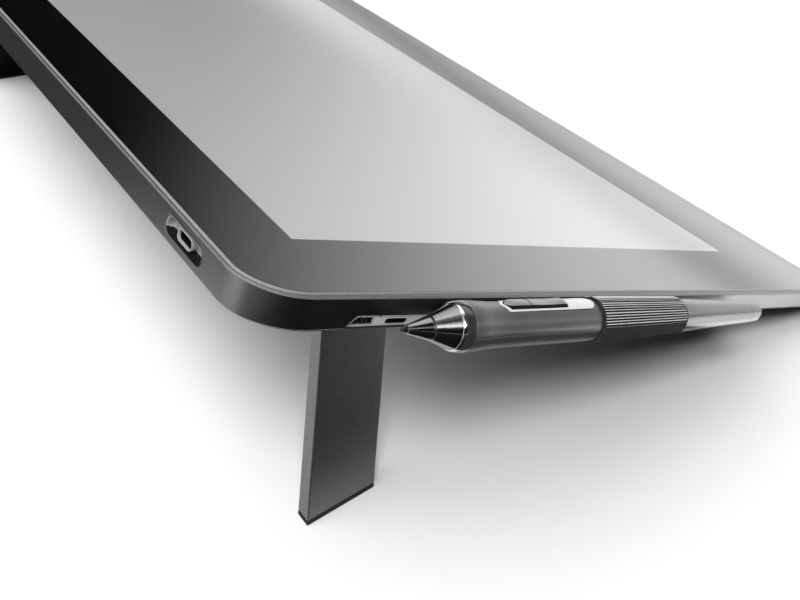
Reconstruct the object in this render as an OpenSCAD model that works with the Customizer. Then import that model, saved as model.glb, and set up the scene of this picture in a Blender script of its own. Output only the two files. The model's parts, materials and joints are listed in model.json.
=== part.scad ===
// Pen drawing tablet: a slim pen display that stands tilted on two fold-out rear legs,
// with a battery-free pen held along its left side by an elastic textile loop.
//
// Units are millimetres. The tablet is drawn lying flat, with its glass face at z = 0, +X to the
// user's right, +Y to the rear edge and the middle of the screen at x = y = 0. tilted() then
// leans it back and sets it on the desk: the finished model has +Z up and z = 0 on the desk.

/* [Screen] */
// Width of the lit area
screen_w = 345; // [330:1:360]
// Depth of the lit area, from rear to front
screen_d = 194; // [188:1:200]

/* [Body] */
// Border between the lit area and each short side
side_border = 32.5; // [30:0.5:36]
// Border between the lit area and the rear edge
rear_border = 28; // [26:0.5:32]
// Border between the lit area and the front edge
front_border = 38; // [36:0.5:44]
// Corner radius of the body, seen from above
corner_r = 18; // [14:0.5:24]
// Height of the side wall at the rear edge
wall_h = 10.45; // [10:0.05:12]
// Angle by which the body gets thinner towards the front
taper = 0.95; // [0.5:0.05:1.1]
// Depth of the dished underside below the side wall
belly_h = 7.05; // [6.5:0.05:8]
// How far back the front edge of the glass is raised above level
tilt = 20; // [16:0.5:22]

/* [Legs] */
// Width of a leg along its hinge
leg_w = 24.5; // [20:0.5:28]
// Thickness of a leg
leg_t = 5.8; // [5:0.1:6]
// How far a leg leans outwards past square when open
leg_lean = 21.2; // [15:0.1:25]
// Distance from the body's short side to the hinge axis
hinge_inset = 43.2; // [40:0.1:50]
// Distance from the rear edge to the leg
leg_from_rear = 48.1; // [46:0.1:52]
// Thickness of the rubber pad under a leg
leg_pad_t = 1.2; // [0.8:0.1:2]

/* [Pen] */
// From the pen frame's origin, just ahead of the nib, to the tail
pen_len = 157; // [156:0.5:160]
// Distance from the body's left side to the pen's axis
pen_offset = 8; // [7.9:0.1:9]
// Distance from the rear edge to the pen frame's origin
pen_from_rear = 39.3; // [36:0.1:42]
// Height of the pen's axis below the glass, at the nib
pen_drop = 5.5; // [5:0.1:6.5]
// Length of the textile loop along the pen
loop_len = 39.4; // [34:0.2:44]

/* [Hidden] */
$fn = 96;
HULL_FN = 64;

// Colours
GRAPHITE = [0.13, 0.13, 0.14];
DARK_PLASTIC = [0.08, 0.08, 0.085];
RUBBER = [0.05, 0.05, 0.05];
STEEL = [0.72, 0.73, 0.75];
BOARD_GREEN = [0.07, 0.28, 0.16];

// Body outline
body_w = screen_w + 2 * side_border;
body_d = screen_d + rear_border + front_border;
rear_y = screen_d / 2 + rear_border;
front_y = rear_y - body_d;
middle_y = (rear_y + front_y) / 2;
left_x = -body_w / 2;
far = 400;

// Layers under the glass, top to bottom, each as thickness
glass_t = 0.9;
print_t = 0.2;
lcd_t = 1.3;
backlight_t = 2.2;
digitizer_t = 0.5;
shield_t = 0.4;
print_z = -glass_t;
lcd_z = print_z - print_t;
backlight_z = lcd_z - lcd_t;
digitizer_z = backlight_z - backlight_t;
shield_z = digitizer_z - digitizer_t;
panel_margin = 4;

// Frame
frame_wall = 1.8;
rim_drop = 0.4;
glass_inset = 1.4;
glass_gap = 0.15;
ledge_t = 1.1;
ledge_gap = 0.5;
boss_r = 3;
boss_bottom = -9;
screw_hole_r = 1.05;
screw_xs = [-body_w / 2 + 19, -62, 62, body_w / 2 - 19];
screw_ys = [rear_y - 18.5, front_y + 27];

// Underside
belly_inset = 16;
belly_inset_front = 8;
cover_t = 1.6;
screw_head_r = 2.2;
screw_head_h = 1.6;
screw_head_lift = 5.6;

// Desk: the line where the front foot's bevel meets the desk is the model's origin
foot_front_y = front_y + 14;
foot_w = 9;
foot_h = 2.1;
toe_h = 1.4;
origin_y = foot_front_y - 2;
underside_z = -wall_h - belly_h;
origin_z = underside_z + tan(taper) * (rear_y - origin_y) - toe_h;

// Leg hinges
hinge_x = left_x + hinge_inset;
hinge_z = -13.5;
pin_r = 1.5;
pin_fit = 0.05;
leg_rear_y = rear_y - leg_from_rear;
leg_front_y = leg_rear_y - leg_w;
leg_side_gap = 0.6;
washer_t = 0.4;
pin_seat = 3.4;
stop_gap = 0.1;
pocket_roof = leg_t / 2 + 0.5;
desk_below_leg = -(origin_z - (leg_rear_y - origin_y) * tan(tilt));
leg_reach = (desk_below_leg + hinge_z) / cos(leg_lean) + leg_t / 2 * tan(leg_lean);
pocket_wall = 1.4;
boss_len = 9;

// Side notch with its plate and vent, in the left wall
notch_rear_y = rear_y - 28.2;
notch_front_y = notch_rear_y - 33;
notch_top_z = -6.1;
notch_slope = 3.4;
notch_depth = 1;
plate_t = 0.8;
vent_rear_y = notch_rear_y - 2.6;
vent_w = 7.6;
vent_h = 2.3;
vent_z = -8.2;
slot_y = notch_rear_y - 18;
slot_w = 7.6;
slot_h = 1.8;
slot_z = -8.5;
pinhole_y = notch_rear_y - 12.2;
pinhole_z = -6.8;
pinhole_r = 0.35;

// Connector recess in the rear wall
port_x = left_x + 40.3;
port_z = -5.35;
port_w = 23.7;
port_h = 6.1;
port_depth = 3;
port_tray_wall = 0.8;
receptacle_w = 8.94;
receptacle_h = 3.26;
receptacle_shell = 0.3;
receptacle_setback = 0.9;

// Power button in the right wall
button_y = rear_y - 55;
button_z = -5.2;
button_w = 12;
button_h = 3;
button_travel = 0.4;

// Pen stations: distances along the pen from its frame's origin
nib_from = 1;
tip_cone_from = 2.9;
groove_from = 9.8;
front_cone_from = 10.4;
ring_from = 17.2;
band_from = 18.2;
grip_from = 21.2;
grip_to = 92;
taper_change = 113.6;
barrel_to = 149;
tail_chamfer_from = 153.4;
core_r = 3.2;
core_fit = 0.05;
nib_r = 0.8;
nib_shaft_to = 20;
nib_travel = 0.5;
loop_from = 71.8;
loop_to = loop_from + loop_len;
loop_clear = 0.2;
loop_t = 0.6;
plate_tip = 33;
plate_shoulder = 35;
plate_end = 66.5;
plate_half_w = 3.2;
plate_top_r = 6.6;
plate_floor_r = 5.9;
switch_half_w = 2.2;
switch_split = 42.5;
switch_end = 58;
switch_top_r = 7.4;
switch_floor_r = 5.5;
switch_gap = 0.2;
window_floor_r = 4.2;
key_pin_r = 0.4;
key_pin_height = 5.2;
key_pin_half_len = 2.7;
key_pin_fit = 0.05;
knuckle_r = 0.8;
knuckle_half_w = 0.7;
knuckle_gap = 0.1;
pen_tip_y = rear_y - pen_from_rear;

// Outer radius of the pen's body behind the gloss band, at a station
function pen_r(s) = lookup(s, [
    [grip_from, 7.1], [24.5, 7.05], [28, 6.75], [32, 6.5], [50, 6.35], [loop_from, 6.2],
    [taper_change, 5.3], [barrel_to, 3.75]
]);

// ---------- shared shapes and frames ----------

// Leans the flat tablet back and sets it on the desk
module tilted() {
    rotate([tilt, 0, 0])
        translate([0, -origin_y, -origin_z])
            children();
}

// A frame that follows the tapering lower edge of the side wall
module on_taper() {
    translate([0, rear_y, -wall_h])
        rotate([-taper, 0, 0])
            children();
}

// Everything lower than a height above the desk, in the flat tablet's frame
module below_desk(height) {
    translate([0, origin_y, origin_z])
        rotate([-tilt, 0, 0])
            translate([-far, -far, height - far])
                cube([2 * far, 2 * far, far]);
}

// Pen frame: origin just ahead of the nib, +Z along the pen to its tail, +Y away from the desk
module at_pen() {
    translate([left_x - pen_offset, pen_tip_y, -pen_drop])
        rotate([90 - taper, 0, 0])
            children();
}

module rounded_rect(w, d, r) {
    square([w - 2 * r, d], center = true);
    square([w, d - 2 * r], center = true);
    for (x = [-1, 1], y = [-1, 1])
        translate([x * (w / 2 - r), y * (d / 2 - r)])
            circle(r);
}

module stadium(w, h) {
    square([w - h, h], center = true);
    for (x = [-1, 1])
        translate([x * (w - h) / 2, 0])
            circle(h / 2);
}

// A slab with the body's outline, drawn in by inset, from its top face down
module body_slab(inset, top, thickness) {
    translate([0, middle_y, top - thickness])
        linear_extrude(thickness)
            rounded_rect(body_w - 2 * inset, body_d - 2 * inset, max(corner_r - inset, 1));
}

// A plain sheet under the glass that overlaps the lit area by margin
module screen_sheet(margin, top, thickness) {
    translate([-screen_w / 2 - margin, -screen_d / 2 - margin, top - thickness])
        cube([screen_w + 2 * margin, screen_d + 2 * margin, thickness]);
}

// A flat outline in the rear wall, extruded forwards from the outside
module into_rear_wall(x, z, from, to) {
    translate([x, rear_y - from, z])
        rotate([90, 0, 0])
            linear_extrude(to - from)
                children();
}

// A flat outline (y, z) in a short side's wall, extruded along +X
module along_x(from, to) {
    translate([from, 0, 0])
        rotate([90, 0, 90])
            linear_extrude(to - from)
                children();
}

module screw_spots() {
    for (x = screw_xs, y = screw_ys)
        translate([x, y, 0])
            children();
}

// ---------- display stack ----------

module cover_glass() {
    color([0.12, 0.12, 0.13, 0.5])
        body_slab(glass_inset, 0, glass_t);
}

module bezel_print() {
    color([0.1, 0.1, 0.1])
        difference() {
            body_slab(glass_inset + 0.6, print_z, print_t);
            screen_sheet(0, 1, 10);
        }
}

module lcd_panel() {
    color([0.8, 0.8, 0.8])
        screen_sheet(panel_margin, lcd_z, lcd_t);
}

module backlight() {
    color([0.9, 0.9, 0.88])
        screen_sheet(panel_margin, backlight_z, backlight_t);
}

module digitizer_board() {
    color(BOARD_GREEN)
        screen_sheet(panel_margin - 1, digitizer_z, digitizer_t);
}

module shield_plate() {
    color(STEEL)
        screen_sheet(panel_margin - 1, shield_z, shield_t);
}

// ---------- frame and rear cover ----------

// Trapezium cut into the lower edge of the left wall; slack widens it
module notch_outline(slack) {
    polygon([
        [notch_rear_y + slack + 1, -wall_h - 2],
        [notch_rear_y + slack, -wall_h],
        [notch_rear_y - notch_slope + slack, notch_top_z + slack],
        [notch_front_y + notch_slope - slack, notch_top_z + slack],
        [notch_front_y - slack, -wall_h],
        [notch_front_y - slack - 1, -wall_h - 2]
    ]);
}

// The region under the side wall's lower edge
module below_wall() {
    on_taper()
        translate([-far, -far, -far])
            cube([2 * far, 2 * far, far]);
}

module frame() {
    color(GRAPHITE)
        difference() {
            union() {
                difference() {
                    body_slab(0, -rim_drop, wall_h + 1);
                    body_slab(frame_wall, 1, wall_h + 10);
                    body_slab(glass_inset - glass_gap, 1, 1 + glass_t);
                }
                difference() {
                    body_slab(frame_wall - 0.2, lcd_z, ledge_t);
                    screen_sheet(panel_margin + ledge_gap, 1, 10);
                }
                screw_spots()
                    translate([0, 0, boss_bottom])
                        cylinder(r = boss_r, h = lcd_z - ledge_t / 2 - boss_bottom);
            }
            below_wall();
            screw_spots()
                translate([0, 0, boss_bottom - 1])
                    cylinder(r = screw_hole_r, h = 6);
            into_rear_wall(port_x, port_z, -1, frame_wall + 1)
                stadium(port_w + 0.1, port_h + 0.1);
            along_x(left_x - 1, left_x + frame_wall + 1)
                notch_outline(0);
            along_x(body_w / 2 - frame_wall - 1, body_w / 2 + 1)
                translate([button_y, button_z])
                    stadium(button_w + 0.3, button_h + 0.3);
            at_pen()
                translate([pen_offset - 1, -1, loop_from + 3.5])
                    cube([frame_wall + 2, 2, loop_len - 7]);
        }
}

// Dished solid between the wall's lower edge and the flat underside, drawn in by inset
module dish(inset, floor_lift) {
    r = corner_r - inset;
    low_w = body_w - 2 * (belly_inset + inset / 2);
    low_rear = -belly_inset - inset / 2;
    low_front = -body_d + belly_inset_front + inset / 2;
    on_taper()
        hull() {
            translate([0, -body_d / 2, -0.02])
                linear_extrude(0.02)
                    rounded_rect(body_w - 2 * inset, body_d - 2 * inset, r, $fn = HULL_FN);
            translate([0, (low_rear + low_front) / 2, -belly_h + floor_lift])
                linear_extrude(0.02)
                    rounded_rect(low_w, low_rear - low_front, r, $fn = HULL_FN);
        }
}

// Space that the left leg folds into, with the slanted stop it leans on when open
module leg_pocket(y_slack) {
    outward = [-cos(leg_lean), sin(leg_lean)] * (leg_t / 2 + stop_gap);
    down = [-sin(leg_lean), -cos(leg_lean)] * 30;
    translate([hinge_x, leg_rear_y + y_slack, hinge_z])
        rotate([90, 0, 0])
            linear_extrude(leg_w + 2 * y_slack)
                polygon([
                    outward,
                    outward + down,
                    [leg_reach + 1.5, -30],
                    [leg_reach + 1.5, pocket_roof],
                    [outward[0] - 0.5, pocket_roof],
                    [outward[0] - 0.5, outward[1]]
                ]);
}

// Walls and roof around the left leg's pocket, with thick ends that hold the hinge pin
module leg_housing() {
    side = leg_side_gap + pocket_wall;
    thick_side = leg_side_gap + pin_seat + 0.6;
    top = pocket_roof + pocket_wall;
    translate([hinge_x - 5.5, leg_front_y - side, hinge_z - 20])
        cube([leg_reach + 8.5, leg_w + 2 * side, 20 + top]);
    translate([hinge_x - 5.5, leg_front_y - thick_side, hinge_z - 20])
        cube([boss_len + 1, leg_w + 2 * thick_side, 20 + leg_t / 2]);
}

module both_sides() {
    children();
    mirror([1, 0, 0])
        children();
}

module pin_rod(r, extra) {
    translate([hinge_x, leg_rear_y + leg_side_gap + pin_seat + extra, hinge_z])
        rotate([90, 0, 0])
            cylinder(r = r, h = leg_w + 2 * (leg_side_gap + pin_seat + extra));
}

module screw_post() {
    translate([0, 0, -far])
        cylinder(r = boss_r + 1, h = far + boss_bottom);
}

module screw_recess() {
    translate([0, 0, boss_bottom - 20])
        cylinder(r = screw_hole_r, h = 22);
    translate([0, 0, underside_z - 5])
        cylinder(r = screw_head_r + 0.2, h = 5 + screw_head_lift);
}

module rear_cover() {
    color(DARK_PLASTIC)
        difference() {
            dish(0, 0);
            difference() {
                union() {
                    dish(cover_t, cover_t);
                    on_taper()
                        translate([0, -body_d / 2, -0.1])
                            linear_extrude(1)
                                rounded_rect(body_w - 2 * cover_t, body_d - 2 * cover_t,
                                    corner_r - cover_t);
                }
                both_sides()
                    leg_housing();
                screw_spots()
                    screw_post();
            }
            both_sides()
                leg_pocket(leg_side_gap);
            both_sides()
                pin_rod(pin_r, 0);
            screw_spots()
                screw_recess();
        }
}

module cover_screws() {
    color(STEEL)
        screw_spots() {
            translate([0, 0, underside_z + screw_head_lift - screw_head_h])
                difference() {
                    cylinder(r = screw_head_r, h = screw_head_h);
                    translate([0, 0, -1])
                        cylinder(r = 1, h = 1.8, $fn = 6);
                }
            translate([0, 0, underside_z + screw_head_lift])
                cylinder(r = 1, h = -5 - underside_z - screw_head_lift);
        }
}

// ---------- openings in the walls ----------

module side_plate() {
    color(STEEL)
        difference() {
            along_x(left_x + notch_depth, left_x + notch_depth + plate_t)
                notch_outline(-0.05);
            below_wall();
            along_x(left_x, left_x + 5)
                union() {
                    translate([vent_rear_y - vent_w / 2, vent_z])
                        square([vent_w, vent_h], center = true);
                    translate([slot_y, slot_z])
                        stadium(slot_w, slot_h);
                    translate([pinhole_y, pinhole_z])
                        circle(pinhole_r);
                }
        }
}

// Ribbed air grille behind the plate
module side_vent() {
    ribs = 5;
    pitch = vent_w / ribs;
    color(DARK_PLASTIC)
        along_x(left_x + notch_depth + plate_t, left_x + notch_depth + plate_t + 3)
            difference() {
                translate([vent_rear_y - vent_w / 2, vent_z])
                    square([vent_w + 2, vent_h + 0.8], center = true);
                for (i = [0 : ribs - 1])
                    translate([vent_rear_y - pitch * (i + 0.5), vent_z])
                        square([pitch - 0.5, vent_h], center = true);
            }
}

module port_bezel() {
    tray = port_depth + port_tray_wall;
    color([0.35, 0.35, 0.37])
        difference() {
            into_rear_wall(port_x, port_z, 0, tray)
                stadium(port_w, port_h);
            into_rear_wall(port_x, port_z, -1, port_depth)
                stadium(port_w - 2 * port_tray_wall, port_h - 2 * port_tray_wall);
            into_rear_wall(port_x, port_z, 0, tray + 1)
                stadium(receptacle_w + 0.1, receptacle_h + 0.1);
        }
}

module usb_receptacle() {
    deep = receptacle_setback + 9;
    color(STEEL) {
        difference() {
            into_rear_wall(port_x, port_z, receptacle_setback, deep)
                stadium(receptacle_w, receptacle_h);
            into_rear_wall(port_x, port_z, 0, deep - 1.5)
                stadium(receptacle_w - 2 * receptacle_shell, receptacle_h - 2 * receptacle_shell);
        }
        into_rear_wall(port_x, port_z, receptacle_setback + 1.2, deep - 1)
            square([6.7, 0.7], center = true);
    }
}

module port_board() {
    color(BOARD_GREEN)
        translate([port_x - 15, rear_y - 27, port_z - receptacle_h / 2 - 1])
            cube([30, 22, 1]);
}

module power_switch() {
    color([0.2, 0.2, 0.22]) {
        translate([body_w / 2 - 8.6, button_y - 3, button_z - 1.7])
            cube([4.2, 6, 3.4]);
        translate([body_w / 2 - 9.8, button_y - 7, button_z - 2.6])
            cube([1.2, 14, 4.6]);
    }
}

module power_button() {
    out = body_w / 2 + 0.5;
    inside = body_w / 2 - frame_wall - 0.2;
    color(GRAPHITE) {
        along_x(inside, out)
            translate([button_y, button_z])
                stadium(button_w, button_h);
        along_x(inside - 0.9, inside)
            translate([button_y, button_z])
                stadium(button_w + 1.6, button_h + 1.2);
        along_x(inside - 1.9, inside - 0.9)
            translate([button_y, button_z])
                circle(1);
    }
}

// ---------- boards ----------

module mainboard() {
    color(BOARD_GREEN)
        translate([-64, 16, -8.6])
            cube([128, 78, 1.2]);
    color([0.15, 0.15, 0.16])
        for (spot = [[-40, 40], [-6, 62], [34, 44], [20, 78]])
            translate([spot[0] - 8, spot[1] - 7, -7.4])
                cube([16, 14, 1.1]);
}

module heat_spreader() {
    color(STEEL)
        translate([-52, 26, -10.4])
            cube([104, 60, 1.6]);
}

// ---------- feet ----------

// A rubber strip on the underside, centred at (x, y)
module foot_strip(x, y, length) {
    on_taper()
        translate([x, y - rear_y, -belly_h - foot_h])
            linear_extrude(foot_h)
                stadium(length, foot_w);
}

module foot_front() {
    color(RUBBER)
        difference() {
            foot_strip(0, foot_front_y, 300);
            below_desk(0);
        }
}

module foot_rear(side) {
    color(RUBBER)
        foot_strip(side * 116, rear_y - 30, 60);
}

module foot_rear_left() {
    foot_rear(-1);
}

module foot_rear_right() {
    foot_rear(1);
}

// ---------- legs ----------

// The left leg, open, long enough to pass through the desk
module leg_blank() {
    translate([hinge_x, leg_rear_y, hinge_z])
        rotate([0, leg_lean, 0]) {
            translate([-leg_t / 2, -leg_w, -far / 2])
                cube([leg_t, leg_w, far / 2]);
            rotate([90, 0, 0])
                cylinder(r = leg_t / 2, h = leg_w);
        }
}

module leg() {
    color(GRAPHITE)
        difference() {
            leg_blank();
            pin_rod(pin_r + pin_fit, 0);
            below_desk(leg_pad_t);
        }
}

module leg_pad() {
    color(RUBBER)
        intersection() {
            difference() {
                leg_blank();
                below_desk(0);
            }
            below_desk(leg_pad_t);
        }
}

module leg_left() {
    leg();
}

module leg_pad_left() {
    leg_pad();
}

module leg_right() {
    mirror([1, 0, 0])
        leg();
}

module leg_pad_right() {
    mirror([1, 0, 0])
        leg_pad();
}

module hinge_pin_left() {
    color(STEEL)
        pin_rod(pin_r, 0);
}

module hinge_pin_right() {
    mirror([1, 0, 0])
        hinge_pin_left();
}

// Four identical friction washers, one at each end of each leg's knuckle
module hinge_washers() {
    color(STEEL)
        both_sides()
            for (y = [leg_rear_y + leg_side_gap, leg_front_y - leg_side_gap + washer_t])
                translate([hinge_x, y, hinge_z])
                    rotate([90, 0, 0])
                        difference() {
                            cylinder(r = leg_t / 2 - 0.1, h = washer_t);
                            translate([0, 0, -1])
                                cylinder(r = pin_r + 0.02, h = washer_t + 2);
                        }
}

// ---------- pen loop ----------

module loop_tab() {
    inner_face = pen_offset + frame_wall + 0.2;
    color(DARK_PLASTIC)
        at_pen() {
            translate([pen_offset - 0.1, -0.8, loop_from + 4])
                cube([inner_face + 0.6 - pen_offset, 1.6, loop_len - 8]);
            translate([inner_face, -3.7, loop_from + 4])
                cube([1, 4.6, loop_len - 8]);
        }
}

module loop_sleeve() {
    neck_to = pen_offset - 0.1;
    r_front = pen_r(loop_from) + loop_clear;
    r_back = pen_r(loop_to) + loop_clear;
    color([0.2, 0.2, 0.21])
        at_pen()
            difference() {
                union() {
                    translate([0, 0, loop_from])
                        cylinder(r1 = r_front + loop_t, r2 = r_back + loop_t, h = loop_len);
                    translate([4, -2.4, loop_from + 2])
                        cube([neck_to - 4, 4.8, loop_len - 4]);
                }
                translate([0, 0, loop_from])
                    cylinder(r1 = r_front, r2 = r_back, h = loop_len);
                translate([0, 0, loop_from - 1])
                    cylinder(r = r_back, h = loop_len + 2);
            }
}

// ---------- pen ----------

// A turned piece of the pen: outline points are [station, radius]
module turned(points) {
    rotate_extrude()
        polygon([for (p = points) [p[1], p[0]]]);
}

// A flat outline seen from above the pen's switch, from one radius up to another.
// Outline points are [across the pen, minus the station]
module above_pen(low, high) {
    translate([0, low, 0])
        rotate([-90, 0, 0])
            linear_extrude(high - low)
                children();
}

module pen_nib() {
    color([0.15, 0.15, 0.15])
        at_pen()
            turned([
                [nib_from, 0], [nib_from + 0.1, 0.3], [nib_from + 0.4, 0.5],
                [nib_from + 1.6, nib_r], [nib_shaft_to, nib_r], [nib_shaft_to, 0]
            ]);
}

module pen_tip_cone() {
    hole = nib_r + 0.05;
    color([0.3, 0.3, 0.32])
        at_pen()
            turned([
                [tip_cone_from, hole], [tip_cone_from, 1.15], [tip_cone_from + 0.4, 1.35],
                [groove_from, 3.25], [groove_from, 2.4], [front_cone_from + 3, 2.4],
                [front_cone_from + 3, hole]
            ]);
}

module pen_front_cone() {
    color([0.3, 0.3, 0.32])
        at_pen()
            turned([
                [groove_from, 2.4], [groove_from, 2.95], [front_cone_from, 2.95],
                [front_cone_from, 3.45], [ring_from, 6.25], [ring_from, core_r + core_fit],
                [front_cone_from + 3, core_r + core_fit], [front_cone_from + 3, 2.4]
            ]);
}

module pen_ring() {
    color([0.85, 0.85, 0.87])
        at_pen()
            turned([
                [ring_from, core_r + core_fit], [ring_from, 6.35], [ring_from + 0.4, 6.6],
                [band_from, 6.75], [band_from, core_r + core_fit]
            ]);
}

module pen_gloss_band() {
    color([0.05, 0.05, 0.05])
        at_pen()
            turned([
                [band_from, core_r + core_fit], [band_from, 6.8], [19.6, 7.05],
                [grip_from, 7.15], [grip_from, core_r + core_fit]
            ]);
}

module switch_window(slack) {
    polygon([
        [0, -(plate_tip + 1.3 - slack)],
        [switch_half_w + slack, -(plate_shoulder + 1 - slack)],
        [switch_half_w + slack, -(switch_end + slack)],
        [-switch_half_w - slack, -(switch_end + slack)],
        [-switch_half_w - slack, -(plate_shoulder + 1 - slack)]
    ]);
}

// Outline of the light plate: a pointed front and a round end
module plate_outline() {
    polygon(concat(
        [[-plate_half_w, -plate_shoulder], [0, -plate_tip], [plate_half_w, -plate_shoulder]],
        [for (a = [0 : 12 : 180])
            [plate_half_w * cos(a), -plate_end - plate_half_w * sin(a)]]
    ));
}

module pen_grip() {
    bore = core_r + core_fit;
    color([0.25, 0.25, 0.26])
        at_pen()
            difference() {
                turned([
                    [grip_from, bore], [grip_from, pen_r(grip_from)], [24.5, pen_r(24.5)],
                    [28, pen_r(28)], [32, pen_r(32)], [50, pen_r(50)], [loop_from, pen_r(loop_from)],
                    [grip_to, pen_r(grip_to)], [grip_to, bore]
                ]);
                above_pen(plate_floor_r, 10)
                    plate_outline();
                above_pen(window_floor_r, 10)
                    switch_window(switch_gap);
                across_pen(key_pin_r + key_pin_fit / 2, -key_pin_half_len, key_pin_half_len);
            }
}

module pen_switch_plate() {
    color([0.8, 0.8, 0.82])
        at_pen()
            intersection() {
                above_pen(plate_floor_r, 10)
                    difference() {
                        plate_outline();
                        switch_window(switch_gap);
                    }
                cylinder(r = plate_top_r, h = pen_len);
            }
}

// A round bar across the pen on the switch's hinge line, from one side to the other
module across_pen(r, from, to) {
    translate([from, key_pin_height, switch_split])
        rotate([0, 90, 0])
            cylinder(r = r, h = to - from);
}

// Knuckles beside the middle one, on both sides of the pen
module outer_knuckles(r, gap) {
    inner = knuckle_half_w + gap;
    across_pen(r, -switch_half_w, -inner);
    across_pen(r, inner, switch_half_w);
}

// The part of the switch between two stations, domed about the pen's axis
module key_cap(from, to) {
    intersection() {
        above_pen(switch_floor_r, 10)
            intersection() {
                switch_window(0);
                translate([-10, -to])
                    square([20, to - from]);
            }
        cylinder(r = switch_top_r, h = pen_len);
    }
}

// Front half of the rocker: it hinges on the middle of the pin
module pen_switch_front() {
    color(DARK_PLASTIC)
        at_pen()
            difference() {
                union() {
                    difference() {
                        key_cap(0, switch_split - 0.15);
                        outer_knuckles(knuckle_r + knuckle_gap, 0);
                    }
                    across_pen(knuckle_r, -knuckle_half_w, knuckle_half_w);
                }
                across_pen(key_pin_r + key_pin_fit, -10, 10);
            }
}

// Rear half of the rocker: it hinges on the two ends of the pin
module pen_switch_rear() {
    color(DARK_PLASTIC)
        at_pen()
            difference() {
                union() {
                    difference() {
                        key_cap(switch_split + 0.15, pen_len);
                        across_pen(knuckle_r + knuckle_gap, -knuckle_half_w - knuckle_gap,
                            knuckle_half_w + knuckle_gap);
                    }
                    outer_knuckles(knuckle_r, knuckle_gap);
                }
                across_pen(key_pin_r + key_pin_fit, -10, 10);
            }
}

module pen_key_pin() {
    color(STEEL)
        at_pen()
            across_pen(key_pin_r, -key_pin_half_len, key_pin_half_len);
}

module pen_barrel() {
    bore = core_r + core_fit;
    color([0.4, 0.4, 0.42])
        at_pen()
            turned([
                [grip_to, bore], [grip_to, pen_r(grip_to)], [loop_to, pen_r(loop_to)],
                [barrel_to, pen_r(barrel_to)], [barrel_to, bore]
            ]);
}

module pen_tail_cap() {
    color([0.4, 0.4, 0.42])
        at_pen()
            turned([
                [barrel_to, 0], [barrel_to, pen_r(barrel_to)], [tail_chamfer_from, 3.5],
                [tail_chamfer_from + 0.3, 3.35], [pen_len - 0.5, 1.9], [pen_len, 1.3], [pen_len, 0]
            ]);
}

// Circuit carrier with the sensing coil, and the bore that guides the nib
module pen_core() {
    hole = nib_r + 0.05;
    color([0.55, 0.35, 0.15])
        at_pen()
            turned([
                [front_cone_from + 3, hole], [front_cone_from + 3, core_r],
                [barrel_to, core_r], [barrel_to, 0],
                [nib_shaft_to + nib_travel + 0.4, 0], [nib_shaft_to + nib_travel + 0.4, hole]
            ]);
}

tilted() frame();
tilted() cover_glass();
tilted() bezel_print();
tilted() lcd_panel();
tilted() backlight();
tilted() digitizer_board();
tilted() shield_plate();
tilted() rear_cover();
tilted() cover_screws();
tilted() side_plate();
tilted() side_vent();
tilted() port_bezel();
tilted() usb_receptacle();
tilted() port_board();
tilted() mainboard();
tilted() heat_spreader();
tilted() power_switch();
tilted() power_button();
tilted() hinge_pin_left();
tilted() hinge_pin_right();
tilted() hinge_washers();
tilted() foot_front();
tilted() foot_rear_left();
tilted() foot_rear_right();
tilted() leg_left();
tilted() leg_pad_left();
tilted() leg_right();
tilted() leg_pad_right();
tilted() loop_tab();
tilted() loop_sleeve();
tilted() pen_nib();
tilted() pen_tip_cone();
tilted() pen_front_cone();
tilted() pen_ring();
tilted() pen_gloss_band();
tilted() pen_grip();
tilted() pen_switch_plate();
tilted() pen_switch_front();
tilted() pen_switch_rear();
tilted() pen_key_pin();
tilted() pen_barrel();
tilted() pen_tail_cap();
tilted() pen_core();
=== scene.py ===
"""Looks for the pen drawing tablet: detailed pieces, materials, floor, lights and camera.

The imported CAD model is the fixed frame. Pieces are drawn in millimetres in one of two local
frames, and each becomes an object that sits in the shared frame, in metres:
  flat  the tablet lying flat: glass face at z = 0, +X to the user's right, +Y to the rear edge
  pen   +Z along the pen from just ahead of the nib to its tail, +Y away from the desk
"""

import json
import math
from collections import namedtuple

import bmesh
import bpy
from mathutils import Matrix, Vector


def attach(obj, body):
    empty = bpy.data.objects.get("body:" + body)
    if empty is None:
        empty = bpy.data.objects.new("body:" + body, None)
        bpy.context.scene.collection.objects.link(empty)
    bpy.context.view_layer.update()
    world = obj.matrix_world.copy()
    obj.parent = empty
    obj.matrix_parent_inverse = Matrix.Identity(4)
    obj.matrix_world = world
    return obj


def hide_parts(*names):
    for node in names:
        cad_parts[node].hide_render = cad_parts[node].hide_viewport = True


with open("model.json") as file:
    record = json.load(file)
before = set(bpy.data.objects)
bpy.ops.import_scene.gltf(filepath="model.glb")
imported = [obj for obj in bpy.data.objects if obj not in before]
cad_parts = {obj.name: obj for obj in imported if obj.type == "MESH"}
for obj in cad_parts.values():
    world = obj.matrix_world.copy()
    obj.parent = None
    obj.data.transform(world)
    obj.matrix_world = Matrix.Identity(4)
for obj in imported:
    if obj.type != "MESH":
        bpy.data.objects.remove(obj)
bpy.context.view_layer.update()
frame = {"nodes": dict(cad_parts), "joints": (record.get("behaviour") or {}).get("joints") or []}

MM = 0.001
UP = Vector((0, 0, 1))

# ---------- local frames, read from the CAD model ----------

# home puts a local frame, in metres, into the shared frame; local works inside it, in millimetres
Place = namedtuple("Place", "home local")


def inside(place, *steps):
    """A place inside another one, after these matrices in millimetres."""
    local = place.local.copy()
    for step in steps:
        local = local @ step
    return Place(place.home, local)


def shift(x=0.0, y=0.0, z=0.0):
    return Matrix.Translation((x, y, z))


def turn(degrees, axis):
    return Matrix.Rotation(math.radians(degrees), 4, axis)


def box_in(home, node):
    """Lowest and highest corner of a CAD node in a home frame, in millimetres."""
    inverse = home.inverted()
    points = [inverse @ v.co / MM for v in frame["nodes"][node].data.vertices]
    low = Vector([min(p[i] for p in points) for i in range(3)])
    high = Vector([max(p[i] for p in points) for i in range(3)])
    return low, high


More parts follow.
